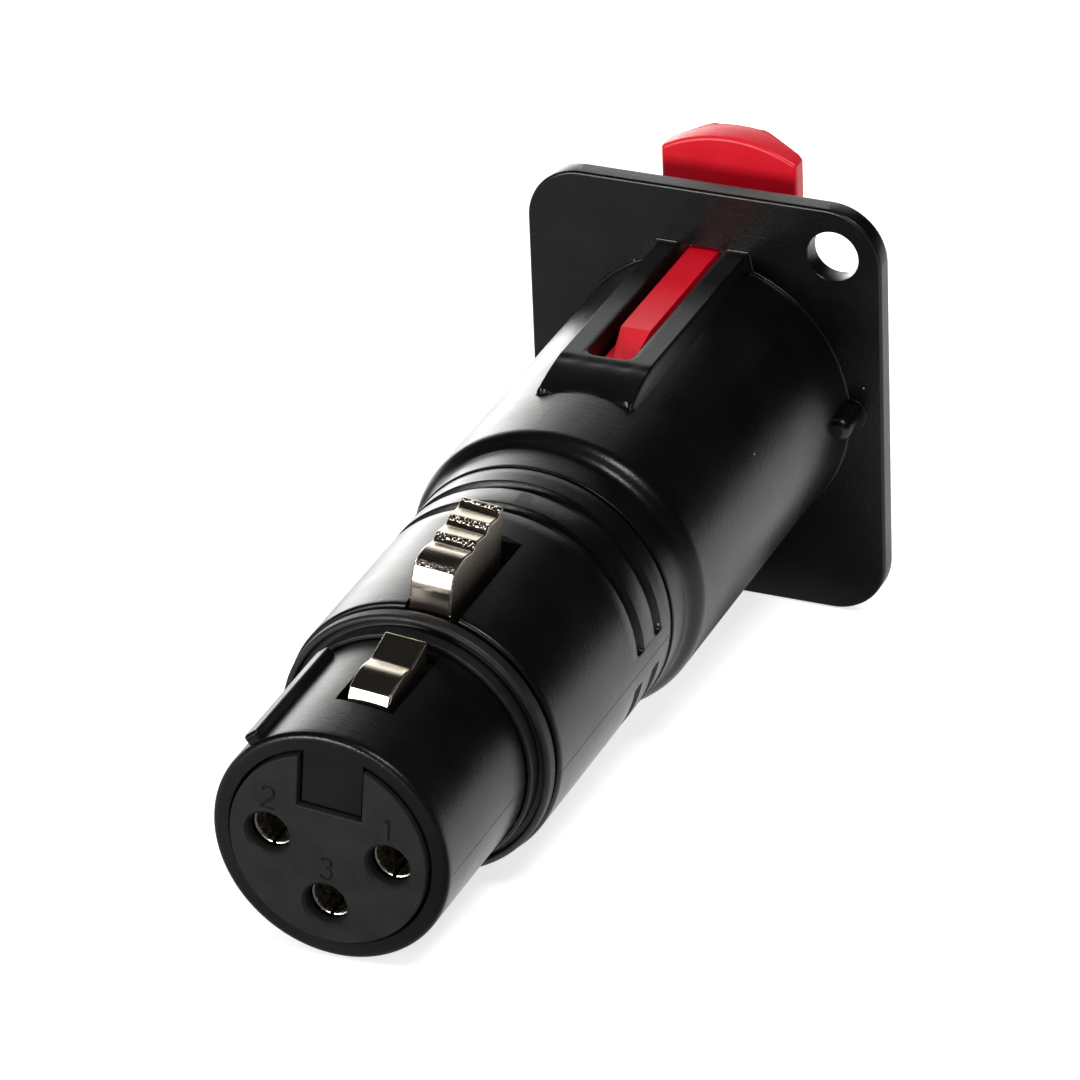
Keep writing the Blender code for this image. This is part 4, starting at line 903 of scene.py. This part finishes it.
def makeContact(name, place):
    c = contact
    end = carrier["contactEnd"]
    start = end - c["length"]
    profile = filleted([(0.0, c["tailEnd"]), (c["tailRadius"], c["tailEnd"], 0.1), (c["tailRadius"], start),
                        (c["radius"], start, 0.15), (c["radius"], end, 0.08), (c["bore"], end, 0.15),
                        (c["bore"], start + c["blind"]), (0.0, start + c["blind"])], 3)
    piece = newPiece(name + "Turned", turned(profile, 56, place), True)
    cut(piece, block((place[0] - c["slit"] / 2, end - c["slitLength"], place[1] - 2.0),
                     (place[0] + c["slit"] / 2, end + 1.0, place[1] + 2.0)), True)
    return finishPiece(piece, platedBrass, "housing", [name])


for contactName, contactPlace in contactPlaces.items():
    makeContact(contactName, contactPlace)
print("contacts made")


# the latch: thumb button, arm and hook in one nickel-plated piece

latch = {"half": 1.43, "pivot": (38.0, 6.3), "boss": 1.1, "pinHole": 0.65, "rear": 40.6, "front": 48.75,
         "armTop": 7.1, "armBottom": 6.0, "edge": 0.16,
         # ridges: (y, top, length of the fall, depth); the rest are corners (y, z, rounding)
         "ridges": ((40.62, 13.1, 0.85, 0.52), (42.72, 12.78, 0.7, 0.43), (44.8, 12.62, 0.62, 0.42)),
         "hump": ((46.75, 12.56, 2.6), (47.75, 12.42, 2.4), (48.35, 12.08, 0.22), (48.75, 10.9, 1.6)),
         "hook": ((58.3, 6.0), (58.3, 7.5, 1.0), (57.86, 8.42, 0.2), (56.3, 9.0, 2.2), (54.75, 8.68, 0.9),
                  (52.35, 9.42, 0.17), (52.35, 7.1, 0.1))}


# once round from the hook's foot: hook, button from its front over hump and ridges, boss, arm
def latchOutline():
    a = latch
    middle, boss = a["pivot"][1], a["boss"]
    button = []
    for y, top, fall, deep in a["ridges"]:
        button += [(y, top, 0.17), (y + fall, top - deep, 0.9)]
    button += a["hump"]
    corners = list(a["hook"]) + [(a["front"], a["armTop"], 0.1)] + button[::-1]
    corners += [(a["rear"], middle + boss, 0.3)] + arcPoints(a["pivot"], boss, 90, 270, 16)
    corners += [(a["rear"], middle - boss, 0.5), (a["rear"] + 1.0, a["armBottom"], 0.5)]
    return filleted(corners, 5)


def makeLatch():
    a = latch
    body = extruded(latchOutline(), alongX, roundedEnds(-a["half"], a["half"], a["edge"], 3))
    piece = newPiece("latchLever", body, True)
    hole = [(a["pivot"][0] + u, a["pivot"][1] + v) for u, v in arcPoints((0, 0), a["pinHole"], 0, 345, 23)]
    cut(piece, extruded(hole, alongX, [(-3.0, 0.0), (3.0, 0.0)]), True)
    return finishPiece(piece, latchNickel, "latch", ["latch_lever"], 33.0)


makeLatch()
print("latch made")


# bushing at the mouth of the jack

bushing = {"bore": 3.25, "radius": 5.3, "front": -7.9, "collar": 6.6, "collarStart": 0.6, "end": 1.9}


def makeBushing():
    b = bushing
    profile = filleted([(b["bore"], b["front"], 0.45), (b["radius"], b["front"], 0.25),
                        (b["radius"], b["collarStart"]), (b["collar"], b["collarStart"], 0.1),
                        (b["collar"], b["end"], 0.1), (b["bore"], b["end"], 0.1)], 5)
    piece = newPiece("sleeveBushing", turned(profile, 128))
    return finishPiece(piece, bushNickel, "housing", ["sleeve_bushing"])


makeBushing()


# coil springs, drawn at rest
springs = [{"name": "leverSpring", "node": "lever_spring", "joint": "release_tab", "atEnd": False,
            "y": 3.51, "radius": 0.85, "foot": 6.72, "top": 9.0, "keep": 0.78},
           {"name": "latchSpring", "node": "latch_spring", "joint": "latch_button", "atEnd": True,
            "y": 45.0, "radius": 1.25, "foot": 3.28, "top": 5.62, "keep": 0.66}]
coil = {"wire": 0.16, "turns": 4, "steps": 112, "sides": 10}


def makeSpring(s):
    wire, steps, sides = coil["wire"], coil["steps"], coil["sides"]
    rings = []
    for share in (step / steps for step in range(steps + 1)):
        angle = 2.0 * math.pi * coil["turns"] * share
        height = s["foot"] + wire + (s["top"] - s["foot"] - 2.0 * wire) * share
        ring = []
        for around in (2.0 * math.pi * side / sides for side in range(sides)):
            out = s["radius"] + wire * math.cos(around)
            ring.append(Vector((out * math.cos(angle), s["y"] + out * math.sin(angle),
                                height + wire * math.sin(around))))
        rings.append(ring)
    piece = newPiece(s["name"], skin(rings), s["atEnd"])
    finishPiece(piece, springSteel, "housing", [s["node"]])
    axis = Vector((0.0, 0.0, 1.0))
    if s["atEnd"]:
        axis = shellTurn.to_3x3() @ axis
    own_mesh(piece)


for spring in springs:
    makeSpring(spring)
print("springs made")


# pieces whose plain solids look right keep them, under a real finish
keptNodes = {"jack_insert": darkPlastic, "insert_cap": darkPlastic, "spacer_ring": darkPlastic,
             "tip_spring": platedBrass, "ring_spring": platedBrass, "sleeve_spring": platedBrass,
             "shell_contact": platedBrass, "plug_catch": springSteel, "lever_pin": springSteel,
             "latch_pin": springSteel, "link_board": boardGreen}
for nodeName, nodeFinish in keptNodes.items():
    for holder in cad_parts[nodeName].material_slots:
        holder.material = nodeFinish
print("inner pieces finished")


# studio: a pale floor under the object, soft lamps and a dim room behind them

# floor, then the room as mirror and soft rays see it, then the floor's painted light and painted shadow as
# mirror rays see it
studio = {"floorRise": 6.72, "floorDrop": -15.56, "floorHalf": 3.0, "floorColor": 0.86, "floorRough": 0.6,
          "mirrorColor": 0.15, "floorGlow": 0.68,
          "roomBright": 2.6, "roomSide": 0.3, "roomDim": 0.008, "roomSoft": 0.42,
          "near": 1.0, "dark": 0.03, "darkLeft": 0.30, "far": 0.3, "rise": 2.2, "away": 3.0, "skew": 0.446}


# 1 for rays of the camera, and 1 for rays by way of a mirror or glass
def rayShares(tree):
    path = tree.nodes.new("ShaderNodeLightPath")
    mirror = mathOf(tree, "MAXIMUM", path.outputs["Is Glossy Ray"], path.outputs["Is Transmission Ray"])
    return path.outputs["Is Camera Ray"], mirror


def makeFloor():
    half = studio["floorHalf"]
    corners = [(-half, -half, 0.0), (half, -half, 0.0), (half, half, 0.0), (-half, half, 0.0)]
    mesh = bpy.data.meshes.new("floor")
    mesh.from_pydata(corners, [], [(0, 1, 2, 3)])
    floor = bpy.data.objects.new("floor", mesh)
    floor.location = (0.0, 0.0, studio["floorDrop"] * mm)
    floor.rotation_euler = (math.radians(studio["floorRise"]), 0.0, 0.0)
    bpy.context.scene.collection.objects.link(floor)
    tone = (studio["floorColor"],) * 3
    finish, tree, shader = newFinish("pale floor", tone, studio["floorRough"])
    shader.inputs["Specular IOR Level"].default_value = 0.0
    camera, mirror = rayShares(tree)
    place = tree.nodes.new("ShaderNodeTexCoord")
    parts = tree.nodes.new("ShaderNodeSeparateXYZ")
    tree.links.new(place.outputs["Object"], parts.inputs[0])
    # mirror rays see the floor in a darker colour: painted shade in its reflections
    toned = blendColor(tree, mirror, tone, (studio["mirrorColor"],) * 3)
    tree.links.new(toned, shader.inputs["Base Color"])
    across, along = parts.outputs["X"], parts.outputs["Y"]
    # painted light: for mirror rays the floor glows brighter towards the big lamp, dimmer far off on the
    # other side
    lit = spread(tree, across, studio["near"], studio["rise"], 0.015, 0.055)
    lit = mathOf(tree, "ADD", lit, spread(tree, across, 0.0, studio["away"] - studio["rise"], 0.1, 0.4))
    lit = mathOf(tree, "MULTIPLY", lit, spread(tree, across, studio["far"], 1.0, -0.2, -0.04))
    # painted shadow: dark where the object shades the floor in front of its flange and of its nose
    slant = mathOf(tree, "SUBTRACT", across, mathOf(tree, "MULTIPLY", along, studio["skew"]))
    shade = mathOf(tree, "MULTIPLY", spread(tree, slant, 0.0, 1.0, -0.0175, -0.0135),
                   spread(tree, along, 0.0, 1.0, -0.012, 0.004))
    shade = mathOf(tree, "MAXIMUM", shade, spread(tree, along, 0.0, 1.0, 0.055, 0.067))
    dark = spread(tree, across, studio["dark"], studio["darkLeft"], 0.0, 0.018)
    # the floor's painted light and painted shadow, added to its glow for mirror rays only
    paintedLightAndShadow = mathOf(tree, "ADD", mathOf(tree, "MULTIPLY", shade, dark),
                  mathOf(tree, "MULTIPLY", mathOf(tree, "SUBTRACT", 1.0, shade), lit))
    glow = tree.nodes.new("ShaderNodeEmission")
    strength = mathOf(tree, "ADD", mathOf(tree, "MULTIPLY", camera, studio["floorGlow"]),
                      mathOf(tree, "MULTIPLY", mirror, paintedLightAndShadow))
    tree.links.new(strength, glow.inputs["Strength"])
    both = tree.nodes.new("ShaderNodeAddShader")
    tree.links.new(shader.outputs[0], both.inputs[0])
    tree.links.new(glow.outputs[0], both.inputs[1])
    tree.links.new(both.outputs[0], tree.nodes["Material Output"].inputs["Surface"])
    mesh.materials.append(finish)


# white for the camera; mirror rays see white up to the horizon and the dim room above it
def makeSurround():
    world = bpy.data.worlds.new("surround")
    bpy.context.scene.world = world
    world.use_nodes = True
    tree = world.node_tree
    back = tree.nodes["Background"]
    place = tree.nodes.new("ShaderNodeTexCoord")
    parts = tree.nodes.new("ShaderNodeSeparateXYZ")
    tree.links.new(place.outputs["Generated"], parts.inputs[0])
    # bright below the horizon on the side of the big lamp, dim above it
    below = spread(tree, parts.outputs["X"], studio["roomSide"], studio["roomBright"], -0.3, 0.4)
    below = mathOf(tree, "MULTIPLY", below, spread(tree, parts.outputs["Z"], 1.0, 0.0, -0.12, -0.04))
    room = mathOf(tree, "MAXIMUM", below, studio["roomDim"])
    camera, mirror = rayShares(tree)
    seen = mathOf(tree, "MAXIMUM", camera, mathOf(tree, "MULTIPLY", mirror, room))
    others = mathOf(tree, "SUBTRACT", 1.0, mathOf(tree, "MAXIMUM", camera, mirror))
    soft = mathOf(tree, "MULTIPLY", others, studio["roomSoft"])
    tree.links.new(mathOf(tree, "ADD", seen, soft), back.inputs["Strength"])
    back.inputs["Color"].default_value = (1.0, 1.0, 1.0, 1.0)


# name, azimuth from -Y towards +X and height in degrees, distance, width and height in metres, watts, colour
lamps = [("backLeftCore", 35.0, 4.0, 0.28, 0.115, 0.13, 0.108, (1.0, 1.0, 0.98)),
         ("backLeftBox", 32.0, 6.0, 0.28, 0.20, 0.20, 0.185, (1.0, 1.0, 0.98)),
         ("backLeftSail", 26.0, 9.0, 0.28, 0.31, 0.30, 0.24, (1.0, 1.0, 0.98)),
         ("overheadBox", -120.0, 62.0, 0.5, 0.16, 0.10, 0.9, (1.0, 1.0, 1.0)),
         ("frontLeftBox", 157.0, 10.0, 0.6, 0.3, 0.17, 2.8, (1.0, 0.99, 0.96))]


lampTarget = (0.0, 0.03, 0.0)


def makeLamps():
    target = Vector(lampTarget)
    for name, azimuth, height, distance, width, tall, power, color in lamps:
        turn, rise = math.radians(azimuth), math.radians(height)
        way = Vector((math.sin(turn) * math.cos(rise), -math.cos(turn) * math.cos(rise), math.sin(rise)))
        data = bpy.data.lights.new(name, "AREA")
        data.shape = "RECTANGLE"
        data.size = width
        data.size_y = tall
        data.energy = power
        data.color = color
        lamp = bpy.data.objects.new(name, data)
        lamp.location = target + way * distance
        lamp.rotation_euler = way.to_track_quat("Z", "Y").to_euler()
        lamp.visible_camera = False
        bpy.context.scene.collection.objects.link(lamp)


makeFloor()
makeSurround()
makeLamps()
bpy.context.scene.view_settings.view_transform = "Standard"
print("studio made")
